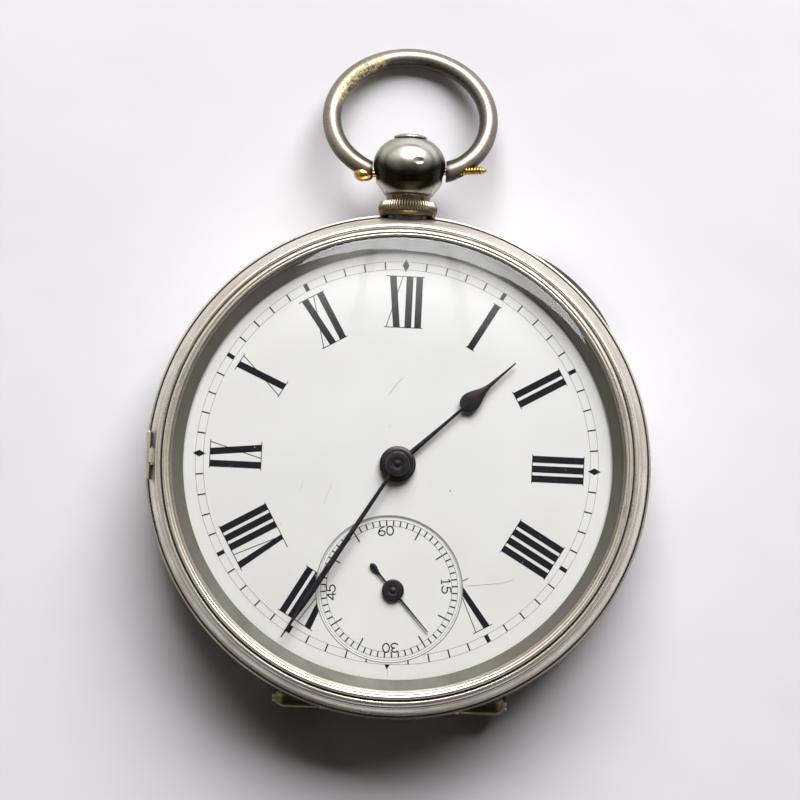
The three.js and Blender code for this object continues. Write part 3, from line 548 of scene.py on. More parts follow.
def ink(name, colour, fade):
    """Fired black paint, a little worn through in pin pricks."""
    s = Shader(name)
    worn = s.range(s.cells(1.6), 0.05, 0.11, 1, 0)
    worn = s.math("MULTIPLY", worn, s.range(s.noise(1.3, 2), 0.55, 0.62, 0, 0.8))
    base = s.mix(s.noise(1.8, 4), colour, tuple(c * 1.7 + 0.006 for c in colour))
    base = s.mix(worn, base, (0.6, 0.6, 0.58))
    base = s.mix(fade, base, (0.8, 0.8, 0.78))
    s.bump((s.noise(4, 3), 0.1, 0.01))
    return s.set(Base_Color=base, Roughness=0.45, Specular_IOR_Level=0.15)


def blued(name):
    """Dark oxidised steel with a brown bloom."""
    s = Shader(name)
    cloud = s.noise(0.55, 5, 0.6)
    fine = s.noise(5, 4, 0.6)
    base = s.mix(s.range(cloud, 0.48, 0.68, 0, 0.85), (0.016, 0.017, 0.024), (0.06, 0.036, 0.035))
    s.bump((fine, 0.25, 0.02), (cloud, 0.1, 0.04))
    rough = s.range(fine, 0.3, 0.7, 0.28, 0.5)
    return s.set(Base_Color=base, Metallic=0.75, Roughness=rough)


def clear_glass(name):
    """Thin clear glass: what it doesn't mirror passes straight through. A little dust lies on it."""
    s = Shader(name)
    nodes = s.tree.nodes
    clear = nodes.new("ShaderNodeBsdfTransparent")
    clear.inputs["Color"].default_value = (0.999, 1.0, 0.998, 1)
    mirror = nodes.new("ShaderNodeBsdfGlossy")
    s.feed(mirror.inputs["Roughness"], s.range(s.noise(1.5, 5), 0.35, 0.7, 0.01, 0.06))
    bump = s.node("ShaderNodeBump", Height=s.noise(0.25, 2), Strength=0.08, Distance=0.2 * MM)
    s.feed(mirror.inputs["Normal"], bump.outputs["Normal"])
    facing = s.node("ShaderNodeFresnel", IOR=1.5)
    dust = nodes.new("ShaderNodeBsdfDiffuse")
    outside = s.math("SUBTRACT", 1.0, s.node("ShaderNodeNewGeometry").outputs["Backfacing"])
    share = s.math("MULTIPLY", facing.outputs["Fac"], outside)
    body = s.ordered("ShaderNodeMixShader", share, clear.outputs[0], mirror.outputs[0])
    dusting = s.range(s.noise(2.5, 6, 0.7), 0.64, 0.85, 0.0, 0.05)
    dusty = s.ordered("ShaderNodeMixShader", dusting, body.outputs[0], dust.outputs[0])
    s.feed(s.output.inputs["Surface"], dusty.outputs[0])
    return s.material


SILVER = silver("silver_case", (0.80, 0.75, 0.66), (0.50, 0.43, 0.35), 0.3)
# The pendant's lower half gets painted shade and a near-black painted reflection band through `band`.
SILVER_BALL = silver(
    "silver_pendant", (0.62, 0.60, 0.53), (0.44, 0.41, 0.31), 0.27, 0.7, 0.5, band=(26.6, 27.2, 28.5, 30.3),
)
# Painted shade: the thumb lip is painted near black for the shade in its serrations and under the rim.
SHADED_LIP = plain_metal("soiled_lip", (0.07, 0.06, 0.045), (0.02, 0.018, 0.012), 0.5, metallic=0.5)
SILVER_BACK = silver("silver_back", (0.72, 0.69, 0.65), (0.52, 0.47, 0.42), 0.24, 0.8, 0.8)
# Inside the aperture the bezel's inner wall is painted dull dark brown as painted shade.
SILVER_BEZEL = silver("silver_bezel", (0.80, 0.75, 0.66), (0.46, 0.40, 0.31), 0.3, 0.9, 0.3, within=APERTURE)
COLLAR = knurled_metal("silver_knurled")
BOW = bow_metal("silver_bow")
# Painted shade: the back hinge's outer barrels are painted dark for the shade under the band's belly.
EAR = silver("silver_ear", (0.20, 0.17, 0.09), (0.06, 0.05, 0.03), 0.2, soil=1.0)
BRASS = plain_metal("brass_screw", (0.72, 0.50, 0.16), (0.42, 0.26, 0.07), 0.26, soil=0.9)
GILT = plain_metal("gilt_frosted", (0.86, 0.66, 0.34), (0.72, 0.53, 0.25), 0.42, grain=9)
GILT_POLISHED = plain_metal("gilt_polished", (0.88, 0.69, 0.38), (0.74, 0.55, 0.28), 0.2)
BRASS_WHEEL = plain_metal("brass_wheel", (0.80, 0.60, 0.28), (0.60, 0.42, 0.16), 0.3)
STEEL = plain_metal("steel_polished", (0.56, 0.56, 0.57), (0.40, 0.40, 0.41), 0.22)
BLUED = blued("steel_blued")
ENAMEL = enamel_face("enamel_white")
INK = ink("ink_black", (0.003, 0.003, 0.006), 0.0)
FINE_INK = ink("ink_fine", (0.03, 0.03, 0.03), 0.38)
THIN_INK = ink("ink_thin", (0.01, 0.01, 0.012), 0.03)
HAIRLINE = ink("enamel_crack", (0.10, 0.08, 0.07), 0.45)
GLASS = clear_glass("glass_clear")

# ------------------------------------------------------------------ case pieces


def band():
    """The case middle: a round belly with a step at its widest, and a groove under the bezel."""
    groove = BEZEL_RADIUS - 0.28
    belly = CASE_RADIUS - 1.4
    upper = ellipse((belly, PENDANT_Z), (1.06, 2.8), 74, 14, 24)
    rim = ellipse((belly, PENDANT_Z), (1.38, 2.95), 8, -78, 28)
    slot = CASE_RADIUS - 0.27
    profile = [
        (BAND_BORE, BACK_JOINT), (BAND_BORE, 5.6), (LEDGE_BORE, 5.6), (LEDGE_BORE, 6.45), (BAND_BORE, 6.45),
        (BAND_BORE, BAND_TOP),
        (groove - 0.12, BAND_TOP), (groove, BAND_TOP - 0.7), (groove + 0.16, BAND_TOP - 0.08),
        *upper, (slot - 0.1, 6.1), (slot + 0.04, 6.1), (slot + 0.06, 6.78), *rim,
    ]
    ring = lathe(profile)
    seat = rod(2.35, 22.6, 26, "Y", (0, 0, PENDANT_Z))
    return cut(ring, seat)


def lip():
    """The thin inner lip that the back cover snaps over, open where the hinge sits."""
    ring = lathe(softened([(21.3, 1.9), (21.3, 3.8), (22.05, 3.8), (21.9, 3.4), (21.9, 1.9)], 0.12))
    opening = block((-8.5, 8.5), (-24, -18), (0, 5))
    chord = block((-12, 12), (-24, -21.4), (0, 3.3))
    return cut(ring, opening, chord)


def end_knuckle(start, stop, at_right):
    """An outer barrel of the back hinge, with a domed end."""
    tall = 1.3
    dome = ellipse((0, 0), (BACK_BARREL, tall), 90, 0)
    profile = [(r, (stop - tall + x) if at_right else (start + tall - x)) for r, x in dome]
    inner = start if at_right else stop
    profile = [(max(r, 0), x) for r, x in profile] + [(BACK_BARREL, inner), (0, inner)]
    return lathe(profile, "X", 64, (0, BACK_HINGE.y, BACK_HINGE.z))


def back_knuckles(numbers, web_y, web_z):
    """Barrels of the back hinge, counted from the left, each on a web that reaches its owner."""
    parts = []
    for number in numbers:
        start = -BACK_HINGE_LENGTH / 2 + number * BACK_KNUCKLE + KNUCKLE_GAP / 2
        stop = start + BACK_KNUCKLE - KNUCKLE_GAP
        barrel = rod(BACK_BARREL, start, stop, "X", (0, BACK_HINGE.y, BACK_HINGE.z), 64, 0.12)
        if number in (0, 4):
            barrel = end_knuckle(start, stop, number == 4)
        web = block((start + 0.1, stop - 0.1), web_y, web_z)
        parts.append(fused(barrel, web))
    return parts


def bezel_barrel(start, stop):
    """One barrel of the bezel hinge, along Y."""
    return rod(BEZEL_BARREL, start, stop, "Y", (BEZEL_HINGE.x, 0, BEZEL_HINGE.z), 40, 0.1)


def case_middle():
    """The band with its snap lip and hinge barrels. The back hinge's barrels are a piece apart."""
    ears = back_knuckles((0, 2, 4), (-23.2, -22.0), (2.6, 3.25))
    side = []
    third = BEZEL_HINGE_LENGTH / 3
    for start in (-1.5 * third, 0.5 * third + 0.08):
        stop = start + third - 0.08
        slope = [(-23.7, 8.2), (-24.7, 8.2), (-24.7, 8.75), (-24.25, 9.1), (-23.7, 9.2)]
        web = moved(prism(slope, 0.05 - stop, -0.05 - start), turn=90, axis="X")
        side.append(fused(bezel_barrel(start, stop), web))
    finish_mesh("silver_hinge_ears", joined(*ears), "body_case", EAR)
    return finish_mesh("silver_band", joined(band(), lip(), *side), "body_case", SILVER, "case_middle")


def back_cover():
    """The snap-on back: a flat middle, a domed shoulder and a flat cut where the hinge is."""
    flat, rim = 15.0, 24.9
    outside = ellipse((flat, 3.1), (rim - flat, 3.1), 270, 360, 60)
    rings = []
    for radius, height in outside:
        turned = 0.06 if 21.2 < radius < 21.6 or 22.1 < radius < 22.4 else 0
        rings.append((radius - turned * 0.5, height + turned))
    inside = [(rim - 0.5, 3.1)] + ellipse((flat, 3.15), (rim - flat - 0.5, 2.6), 359, 270, 50)
    mesh = lathe([(0, 0)] + rings + inside + [(0, 0.55)])
    mesh = cut(mesh, block((-20, 20), (-30, HINGE_CHORD), (-2, 6)))
    wall = block((-10.9, 10.9), (HINGE_CHORD, -21.6), (1.7, 3.05))
    ears = back_knuckles((1, 3), (-23.1, -21.7), (2.1, 2.9))
    mesh = joined(mesh, wall, *ears)
    return finish_mesh("silver_back", mesh, "back_body", SILVER_BACK, "back_cover")


def thumb_lip():
    """The nib for a fingernail at two o'clock: a serrated crescent that stands out from the rim."""
    start, stop, teeth = 33.5, 62.5, 44
    root, foot = 24.2, 24.6
    steps = teeth * 4
    inner, outer = [], []
    for i in range(steps + 1):
        t = i / steps
        angle = math.radians(start + (stop - start) * t)
        bulge = math.sin(math.pi * t) ** 0.3
        reach = foot + 1.03 * bulge + 0.03 * math.cos(2 * math.pi * t * teeth)
        outer.append((reach * math.cos(angle), reach * math.sin(angle)))
        inner.append((root * math.cos(angle), root * math.sin(angle)))
    mesh = prism(outer + inner[::-1], 2.1, 3.0)
    return finish_mesh("silver_thumb_lip", mesh, "back_body", SHADED_LIP)


def cuvette():
    """The inner dust cover, with two key holes and a hinge tongue."""
    section = [(0, 1.3), (20.6, 1.3), (20.95, 1.6), (20.95, 2.9), (20.65, 2.9), (20.6, 1.75), (0, 1.7)]
    rim = softened([(KEY_HOLE, 1.18), (2.3, 1.18), (2.3, 1.4), (KEY_HOLE, 1.4)], 0.08)
    holes, rims = [], []
    for node in ("centre_arbor", "barrel_arbor"):
        place = (middle_of(node).x, middle_of(node).y, 0)
        holes.append(rod(KEY_HOLE, 0, 4, "Z", place, 64, 0))
        rims.append(lathe(rim, centre=place))
    chord = block((-15, 15), (-24, -20.1), (0, 5))
    shell = cut(lathe(softened(section, 0.12)), chord, *holes)
    half = 2.75
    barrel = rod(0.5, -half, half, "X", (0, CUVETTE_HINGE.y, CUVETTE_HINGE.z), 40, 0.1)
    tongue = block((-half, half), (-20.6, -19.9), (2.35, 2.75))
    mesh = joined(shell, barrel, tongue, *rims)
    return finish_mesh("gilt_cuvette", mesh, "cuvette_body", GILT_POLISHED, "cuvette")


def bezel():
    """Three turned ridges with grooves between them, and a sloping inner wall down to the dial."""
    edge = BEZEL_RADIUS - 0.22
    ridge_1 = ellipse((edge - 0.42, BEZEL_TOP - 1.1), (0.42, 0.62), 10, 150, 12)
    ridge_2 = ellipse((edge - 1.0, BEZEL_TOP - 0.42), (0.26, 0.42), 20, 160, 10)
    ridge_3 = ellipse((APERTURE + 0.17, BEZEL_TOP - 0.3), (0.17, 0.2), 20, 175, 8)
    profile = [
        (WALL_FOOT, BEZEL_BOTTOM + 0.4), (WALL_FOOT, BEZEL_BOTTOM + 0.6),
        (APERTURE + 0.05, BEZEL_TOP - 0.95), (APERTURE, BEZEL_TOP - 0.5),
        *ridge_3[::-1], (APERTURE + 0.4, BEZEL_TOP - 0.42),
        *ridge_2[::-1], (edge - 0.72, BEZEL_TOP - 0.72),
        *ridge_1[::-1], (edge, BEZEL_BOTTOM + 0.3), (edge - 0.25, BEZEL_BOTTOM),
        (APERTURE - 0.3, BEZEL_BOTTOM), (APERTURE - 0.4, BEZEL_BOTTOM + 0.4),
    ]
    ring = lathe(profile)
    reach = BEZEL_HINGE_LENGTH / 6 - 0.06
    web = block((-24.4, -23.2), (0.05 - reach, reach - 0.05), (9.35, 9.75))
    mesh = joined(ring, bezel_barrel(-reach, reach), web)
    return finish_mesh("silver_bezel", mesh, "bezel_body", SILVER_BEZEL, "bezel")


def glass():
    """A dome that is lowest and steepest where it meets its seat."""
    seat, rim, thick, steps = BEZEL_TOP - 0.45, APERTURE + 0.1, 0.5, 60
    outside, inside = [], []
    for i in range(steps + 1):
        turn = math.radians(90 * i / steps)
        radius, height = math.cos(turn), math.sin(turn) ** 1.4
        outside.append((rim * radius, seat + (GLASS_TOP - seat) * height))
        inside.append(((rim - thick) * radius, seat + (GLASS_TOP - thick - seat) * height))
    mesh = lathe([*outside, *inside[::-1]])
    return finish_mesh("glass_dome", mesh, "bezel_body", GLASS, "glass", sharp=60)


# ------------------------------------------------------------------ pendant, bow and button


def pendant():
    """The ball on its neck, with a cone under it, a flat oval dent in front and a cap well on top."""
    crown = BALL_TOP
    flank = ellipse((0, BALL_Y), (BALL_RADIUS, BALL_TALL), -22, 54, 36)
    neck = BALL_Y - 2.95
    profile = [
        (1.3, 23.3), (2.1, 23.3), (2.15, neck - 0.6), (2.2, neck - 0.2), (2.45, neck),
        (BALL_RADIUS - 0.3, BALL_Y - 1.85), *flank, (1.86, crown), (1.74, crown - 0.06),
        (1.72, crown - 1.25), (1.3, crown - 1.25),
    ]
    mesh = lathe(softened(profile, 0.1, 3), "Y", 160, (0, 0, PENDANT_Z))
    hole = rod(0.46, -4, 4, "X", (0, BOW_AXIS.y, BOW_AXIS.z), 32, 0)
    normal = Vector((0.27, -0.01, 1)).normalized()
    dent = lathe(ellipse((0, 0), (0.6, 0.16), -90, 90, 16), "Z", 64)
    dent.transform(Matrix.Diagonal((1, 0.66, 1, 1)))
    dent.transform(Vector((0, 0, 1)).rotation_difference(normal).to_matrix().to_4x4())
    moved(dent, (normal.x * BALL_RADIUS, BALL_Y + 0.1, PENDANT_Z + normal.z * BALL_RADIUS))
    mesh = cut(mesh, hole, dent)
    return finish_mesh("silver_ball", mesh, "body_case", SILVER_BALL, "pendant", sharp=24)


def collar():
    """A ring under the ball: knurled on its upper edge, rounded and smooth below."""
    bottom, top, around, deep = 24.7, 26.2, 8, 0.08
    section = [
        (2.25, bottom + 0.1), (2.62, bottom), (2.9, bottom + 0.4),
        (2.93, top - 0.5), (2.72, top), (2.25, top),
    ]
    profile = softened(section, 0.12)

    def knurl(i, j):
        radius, height = profile[j]
        if radius < 2.6 or height < bottom + 0.75:
            return 0
        return deep * math.cos(2 * math.pi * i / around) - deep

    mesh = lathe(profile, "Y", KNURLS * around, (0, 0, PENDANT_Z), knurl)
    return finish_mesh("silver_collar", mesh, "body_case", COLLAR, "pendant_collar")


def push_button():
    """The button's cap over a slim stem."""
    skirt = BUTTON_TOP - 1.0
    profile = [
        (0, 21.95), (1.2, 21.95), (1.2, skirt), (1.5, skirt), (1.5, BUTTON_TOP - 0.5),
        (1.66, BUTTON_TOP - 0.38), (1.66, BUTTON_TOP - 0.22), (1.3, BUTTON_TOP - 0.04),
        (0.9, BUTTON_TOP), (0, BUTTON_TOP),
    ]
    mesh = lathe(softened(profile, 0.12), "Y", 96, (0, 0, PENDANT_Z))
    return finish_mesh("silver_button", mesh, "button_body", SILVER_BALL, "push_button")


def bow():
    """A skewed ring of round wire that droops to the floor, with both its ends bent up a little."""
    half, middle = BOW_HALF - BOW_WIRE, BOW_LENGTH - BOW_TALL
    foot = math.degrees(math.asin(min(1.0, FOOT_FACE / half)))
    steps, sides = 220, 40
    vertices, faces = [], []
    for i in range(steps + 1):
        angle = math.radians(-90 + foot + (360 - 2 * foot) * i / steps)
        centre = Vector((half * math.cos(angle), middle + BOW_TALL * math.sin(angle), 0))
        along = Vector((-half * math.sin(angle), BOW_TALL * math.cos(angle), 0)).normalized()
        to_left, to_right = 1 - i / steps, i / steps
        bend_left = max(0, 1 - to_left / 0.16) ** 2
        bend_right = max(0, 1 - to_right / 0.16) ** 2
        centre.y += 0.3 * bend_left + 0.42 * bend_right
        centre.x -= 0.27 * centre.y / BOW_LENGTH
        if i in (0, steps):
            along = Vector((1, 0, 0))
        out = along.cross(Vector((0, 0, 1)))
        swelling = 0.14 * max(0, 1 - to_right / 0.05) - 0.08 * max(0, 1 - to_left / 0.05)
        thick = (BOW_WIRE + 0.03) * (1 + swelling)
        for j in range(sides):
            turn = 2 * math.pi * j / sides
            vertices.append(centre + out * (thick * math.cos(turn)) + Vector((0, 0, thick * math.sin(turn))))
    for i in range(steps):
        for j in range(sides):
            k = (j + 1) % sides
            faces.append((i * sides + j, i * sides + k, (i + 1) * sides + k, (i + 1) * sides + j))
    faces.append(tuple(range(sides)))
    faces.append(tuple(range(steps * sides, (steps + 1) * sides)))
    mesh = mesh_of(vertices, faces)
    ball_room = block((-FOOT_FACE, FOOT_FACE), (-4, 4), (-4, 4))
    mesh = cut(mesh, ball_room, rod(0.42, 0, 9, "X", segments=32, soft=0))
    mesh = moved(mesh, BOW_AXIS, -BOW_DROOP, "X")
    return finish_mesh("silver_bow", mesh, "bow_body", BOW, "bow", sharp=50)


def bow_screw():
    """A brass screw, a little crooked, with a round head on the left and a threaded point on the right."""
    pitch, tip, start = 0.28, high("bow_screw").x, 5.0
    head = ellipse((0, -4.6), (0.74, 0.92), 270, 366, 16)
    profile = [(max(r, 0), x) for r, x in head] + [(0.7, -4.1), (0.6, -3.8), (0.36, -3.72), (0.36, start)]
    height = start
    while height < tip - 0.5:
        profile += [(0.44, height + pitch * 0.3), (0.43, height + pitch * 0.5), (0.3, height + pitch)]
        height += pitch
    profile += [(0.26, tip - 0.22), (0.1, tip), (0, tip)]
    mesh = moved(lathe(profile, "X", 48), BOW_AXIS - Vector((0, 0.12, 0)), 3.7)
    return finish_mesh("brass_bow_screw", mesh, "bow_body", BRASS, "bow_screw")


# ------------------------------------------------------------------ dial and its printing

TRACK = 19.72
NUMERAL_FOOT, NUMERAL_TOP = 13.2, 18.35
PAINT_SHIFT, PAINT_TURN = Vector((-0.11, 0.20, 0)), 0.57
SECONDS_PAINT, SECONDS_TURN = SECONDS_AT + Vector((-0.38, 0.12, 0)), -4.2
SECONDS_RADIUS = 7.1
SUNK = 0.07


def dial():
    """White enamel with a domed edge, and the seconds dial sunk a little below it."""
    edge = DIAL_RADIUS - 0.03
    face = lathe(softened([(0, DIAL_BOTTOM), (edge, DIAL_BOTTOM), (edge, DIAL_TOP), (0, DIAL_TOP)], 0.3, 6))
    depth = DIAL_TOP - SUNK
    sink = [(0, depth), (SECONDS_RADIUS - 0.05, depth), (SECONDS_RADIUS - 0.02, depth + 0.02)]
    sink += [(SECONDS_RADIUS, DIAL_TOP - 0.01), (SECONDS_RADIUS + 0.02, DIAL_TOP + 0.2), (0, DIAL_TOP + 0.2)]
    mesh = cut(
        face, lathe(sink, centre=SECONDS_PAINT, segments=192), rod(1.35, 8, 10, soft=0),
        rod(0.45, 8, 10, centre=SECONDS_AT, soft=0),
    )
    return finish_mesh("enamel_dial", mesh, "body_case", ENAMEL, "dial")


class Print:
    """Flat strokes of paint on the dial, gathered into one mesh. Angles are clockwise from 12."""

    def __init__(self, level, centre=PAINT_SHIFT, turn=PAINT_TURN):
        self.level = level
        self.centre = Vector(centre)
        self.turn = turn
        self.outlines = []

    def shape(self, points):
        """A filled outline."""
        self.outlines.append([(x + self.centre.x, y + self.centre.y) for x, y in points])

    def mesh(self, window=None):
        """The paint as thin flakes. What lies inside a round window [centre, radius] is left out."""
        bottom, top = self.level - 0.01, self.level + 0.012
        flakes = [prism(outline, bottom, top) for outline in self.outlines]
        if window:
            centre, radius = window
            hole = rod(radius, bottom - 1, top + 1, centre=centre, segments=128, soft=0)
            for i, outline in enumerate(self.outlines):
                if min((Vector(point) - centre.xy).length for point in outline) < radius:
                    flakes[i] = cut(flakes[i], hole)
        return joined(*flakes)

    def circle(self, radius, width, segments=RING):
        for i in range(segments):
            a, b = (2 * math.pi * k / segments for k in (i, i + 1.02))
            inner, outer = radius - width / 2, radius + width / 2
            self.shape([
                (inner * math.cos(a), inner * math.sin(a)), (outer * math.cos(a), outer * math.sin(a)),
                (outer * math.cos(b), outer * math.sin(b)), (inner * math.cos(b), inner * math.sin(b)),
            ])

    def placed(self, points, clock):
        """Points of [across, outwards] turned to a clock angle."""
        angle = math.radians(clock + self.turn)
        out = Vector((math.sin(angle), math.cos(angle)))
        across = Vector((math.cos(angle), -math.sin(angle)))
        return [tuple(across * u + out * v) for u, v in points]

    def tick(self, clock, start, stop, width):
        half = width / 2
        self.shape(self.placed([(-half, start), (half, start), (half, stop), (-half, stop)], clock))

    def line(self, points, width, clock=0.0):
        """A stroke of even width through points of [across, outwards]."""
        for (u0, v0), (u1, v1) in zip(points, points[1:]):
            along = Vector((u1 - u0, v1 - v0))
            if along.length < 1e-6:
                continue
            side = Vector((-along.y, along.x)).normalized() * width / 2
            ahead = along.normalized() * width * 0.2
            a, b = Vector((u0, v0)) - ahead, Vector((u1, v1)) + ahead
            corners = [tuple(a - side), tuple(b - side), tuple(b + side), tuple(a + side)]
            self.shape(self.placed(corners, clock))


BAR, GAP, HAIR = 0.66, 0.30, 0.075
LETTER_WIDTH = {"I": BAR, "V": 1.75, "X": 1.55}


def numeral(paint, text, clock):
    """Roman letters side by side, with their tops outwards and thin serifs at both ends."""
    foot, top = NUMERAL_FOOT + 0.06, NUMERAL_TOP - 0.06
    total = sum(LETTER_WIDTH[letter] for letter in text) + GAP * (len(text) - 1)
    left = -total / 2
    for letter in text:
        wide = LETTER_WIDTH[letter]
        right = left + wide
        if letter == "I":
            paint.shape(paint.placed([(left, foot), (right, foot), (right, top), (left, top)], clock))
        elif letter == "V":
            tip = left + wide * 0.62
            outer = left + 0.1
            strokes = [(outer, top), (outer + BAR, top), (tip + 0.16, foot), (tip - BAR * 0.5, foot)]
            paint.shape(paint.placed(strokes[::-1], clock))
            paint.line([(tip, foot), (right - 0.15, top)], HAIR, clock)
        else:
            outer, inner = left + 0.2, right - 0.15
            strokes = [(outer, top), (outer + BAR, top), (inner, foot), (inner - BAR, foot)]
            paint.shape(paint.placed(strokes[::-1], clock))
            paint.line([(left + 0.05, foot), (right - 0.05, top)], HAIR, clock)
        reach = 0.13
        for level in (foot, top):
            paint.line([(left - reach, level), (right + reach, level)], HAIR, clock)
        left = right + GAP


def numerals():
    paint = Print(DIAL_TOP)
    for hour, text in enumerate("I II III IIII V VI VII VIII IX X XI XII".split(), 1):
        if hour != 6:
            numeral(paint, text, 30 * hour)
    return finish_mesh("numerals", paint.mesh((SECONDS_PAINT, SECONDS_RADIUS + 0.1)), "body_case", INK)


def minute_track():
    """Two thin circles with a tick at each minute, and a mark at each hour."""
    window = (SECONDS_PAINT, SECONDS_RADIUS + 0.06)
    fine, bold = Print(DIAL_TOP), Print(DIAL_TOP)
    inner = TRACK - 0.78
    lozenge = [(0, inner - 0.22), (0.33, TRACK - 0.36), (0, TRACK + 0.26), (-0.33, TRACK - 0.36)]
    arrow = [(0.26, TRACK + 0.02), (0, TRACK + 0.5), (-0.26, TRACK + 0.02)]
    fine.circle(TRACK, 0.045)
    fine.circle(inner, 0.045)
    for minute in range(60):
        if minute % 5:
            bold.tick(6 * minute, inner, TRACK, 0.13)
        elif minute in (0, 15, 45):
            bold.shape(bold.placed(lozenge, 6 * minute))
        elif minute == 30:
            bold.shape(bold.placed(arrow, 6 * minute))
        else:
            bold.tick(6 * minute, inner + 0.02, TRACK - 0.02, 0.4)
    finish_mesh("minute_track", fine.mesh(window), "body_case", FINE_INK)
    finish_mesh("hour_marks", bold.mesh(window), "body_case", INK)


DIGITS = {
    "0": [ellipse((0.3, 0.5), (0.27, 0.5), 0, 360, 24)],
    "1": [[(0.15, 0), (0.45, 0)], [(0.3, 0), (0.3, 1), (0.12, 0.82)]],
    "3": [ellipse((0.27, 0.76), (0.23, 0.24), 160, -90), ellipse((0.27, 0.27), (0.28, 0.27), 90, -160)],
    "4": [[(0.45, 0), (0.45, 1), (0, 0.3), (0.62, 0.3)]],
    "5": [[(0.52, 1), (0.14, 1), (0.08, 0.55)], ellipse((0.25, 0.31), (0.29, 0.31), 125, -160)],
    "6": [ellipse((0.29, 0.27), (0.26, 0.27), 0, 360, 20), ellipse((0.62, 0.3), (0.59, 0.7), 100, 180)],
}


def seconds_print():
    """The ring of second ticks with thin numbers at each quarter."""
    level = DIAL_TOP - SUNK
    inner, outer, long_tick = 6.13, 6.7, 5.4
    paint = Print(level, SECONDS_PAINT, SECONDS_TURN)
    rings = Print(level, SECONDS_PAINT, SECONDS_TURN)
    rings.circle(inner, 0.05, 144)
    rings.circle(outer, 0.05, 144)
    rings.circle(SECONDS_RADIUS - 0.13, 0.05, 144)
    for second in range(60):
        five, quarter = second % 5 == 0, second % 15 == 0
        start = long_tick if five and not quarter else inner
        paint.tick(6 * second, start, outer, 0.13)
    tall, wide = 0.86, 1.2
    for text, clock, foot in (("60", -1, 5.25), ("15", 89, 5.15), ("30", 181, 5.3), ("45", 269, 5.25)):
        for place, letter in enumerate(text):
            left = (place - 1) * 0.8 + 0.04
            for stroke in DIGITS[letter]:
                paint.line([(left + u * wide, foot + v * tall) for u, v in stroke], 0.12, clock)
    finish_mesh("seconds_rings", rings.mesh(), "body_case", FINE_INK)
    finish_mesh("seconds_track", paint.mesh(), "body_case", THIN_INK)
    border = Print(DIAL_TOP, SECONDS_PAINT)
    border.circle(SECONDS_RADIUS + 0.06, 0.11, 192)
    finish_mesh("seconds_border", border.mesh(), "body_case", FINE_INK)


def cracks():
    """Hairline cracks in the enamel, each a thin wandering line from one point towards another."""
    draw = random.Random(7)
    lines = [
        ((7.3, -11.75), (11.9, -10.9), 0.045), ((-1.1, 6.6), (0.2, 8.3), 0.05),
        ((-6.9, -4.4), (-6.3, -2.2), 0.03), ((0.1, -19.9), (0.05, -20.9), 0.035),
        ((-9.3, -3.2), (-9.0, -2.2), 0.025),
    ]
    paint = Print(DIAL_TOP)
    for start, stop, width in lines:
        a, b = Vector(start), Vector(stop)
        side = Vector((a.y - b.y, b.x - a.x)).normalized()
        points, drift, steps = [], 0.0, 12
        for i in range(steps + 1):
            drift += draw.uniform(-0.06, 0.06)
            points.append(tuple(a.lerp(b, i / steps) + side * drift * math.sin(math.pi * i / steps)))
        paint.line(points, width)
    finish_mesh("enamel_cracks", paint.mesh(), "body_case", HAIRLINE)


# ------------------------------------------------------------------ hands


def blade(stations, bottom, top, crown=0.35, steps=5):
    """A hand along +Y through stations of [distance, half width]: edges upright, back crowned."""
    smooth = []
    for i in range(len(stations) - 1):
        before, a, b, after = (
            Vector(stations[max(i - 1, 0)]), Vector(stations[i]), Vector(stations[i + 1]),
            Vector(stations[min(i + 2, len(stations) - 1)]),
        )
        for s in range(steps):
            t = s / steps
            tangent_a, tangent_b = (b - before) / 2, (after - a) / 2
            width = (2 * t ** 3 - 3 * t ** 2 + 1) * a.y + (t ** 3 - 2 * t ** 2 + t) * tangent_a.y
            width += (3 * t ** 2 - 2 * t ** 3) * b.y + (t ** 3 - t ** 2) * tangent_b.y
            smooth.append((a.x + (b.x - a.x) * t, max(width, 0.03)))
    smooth.append(stations[-1])
    vertices, faces = [], []
    edge = top - (top - bottom) * crown
    for distance, half in smooth:
        for x, z in ((-half, bottom), (-half, edge), (-half * 0.55, top - (top - edge) * 0.3), (0, top),
                     (half * 0.55, top - (top - edge) * 0.3), (half, edge), (half, bottom)):
            vertices.append((x, distance, z))
    count = 7
    for i in range(len(smooth) - 1):
        for j in range(count):
            k = (j + 1) % count
            faces.append((i * count + j, i * count + k, (i + 1) * count + k, (i + 1) * count + j))
    last = (len(smooth) - 1) * count
    faces += [tuple(range(count)), tuple(range(last, last + count))]
    return mesh_of(vertices, faces)


def hand(name, stations, clock, bottom, top, boss, body, node, centre=(0, 0, 0)):
    """A blade turned to its clock angle about a boss turned from [radius, height] points."""
    mesh = moved(blade(stations, bottom, top), centre, -clock)
    hub = lathe(softened(boss, 0.07), "Z", 96, centre)
    return finish_mesh(name, joined(mesh, hub), body, BLUED, node, sharp=40)


def cap(radius, bottom, rim, arbor_top):
    """A boss that covers its arbor: a raised rim, a hollow, and the arbor's bright tip."""
    face = max(rim, arbor_top + 0.02)
    return [
        (0, bottom), (radius, bottom), (radius, rim), (radius - 0.1, face + 0.03),
        (radius * 0.5, face + 0.03), (radius * 0.36, face), (radius * 0.24, face),
        (radius * 0.18, face + 0.12), (0, face + 0.15),
    ]


HOUR_CLOCK, MINUTE_CLOCK, SECONDS_CLOCK = 47.3, 211.8, 138.0


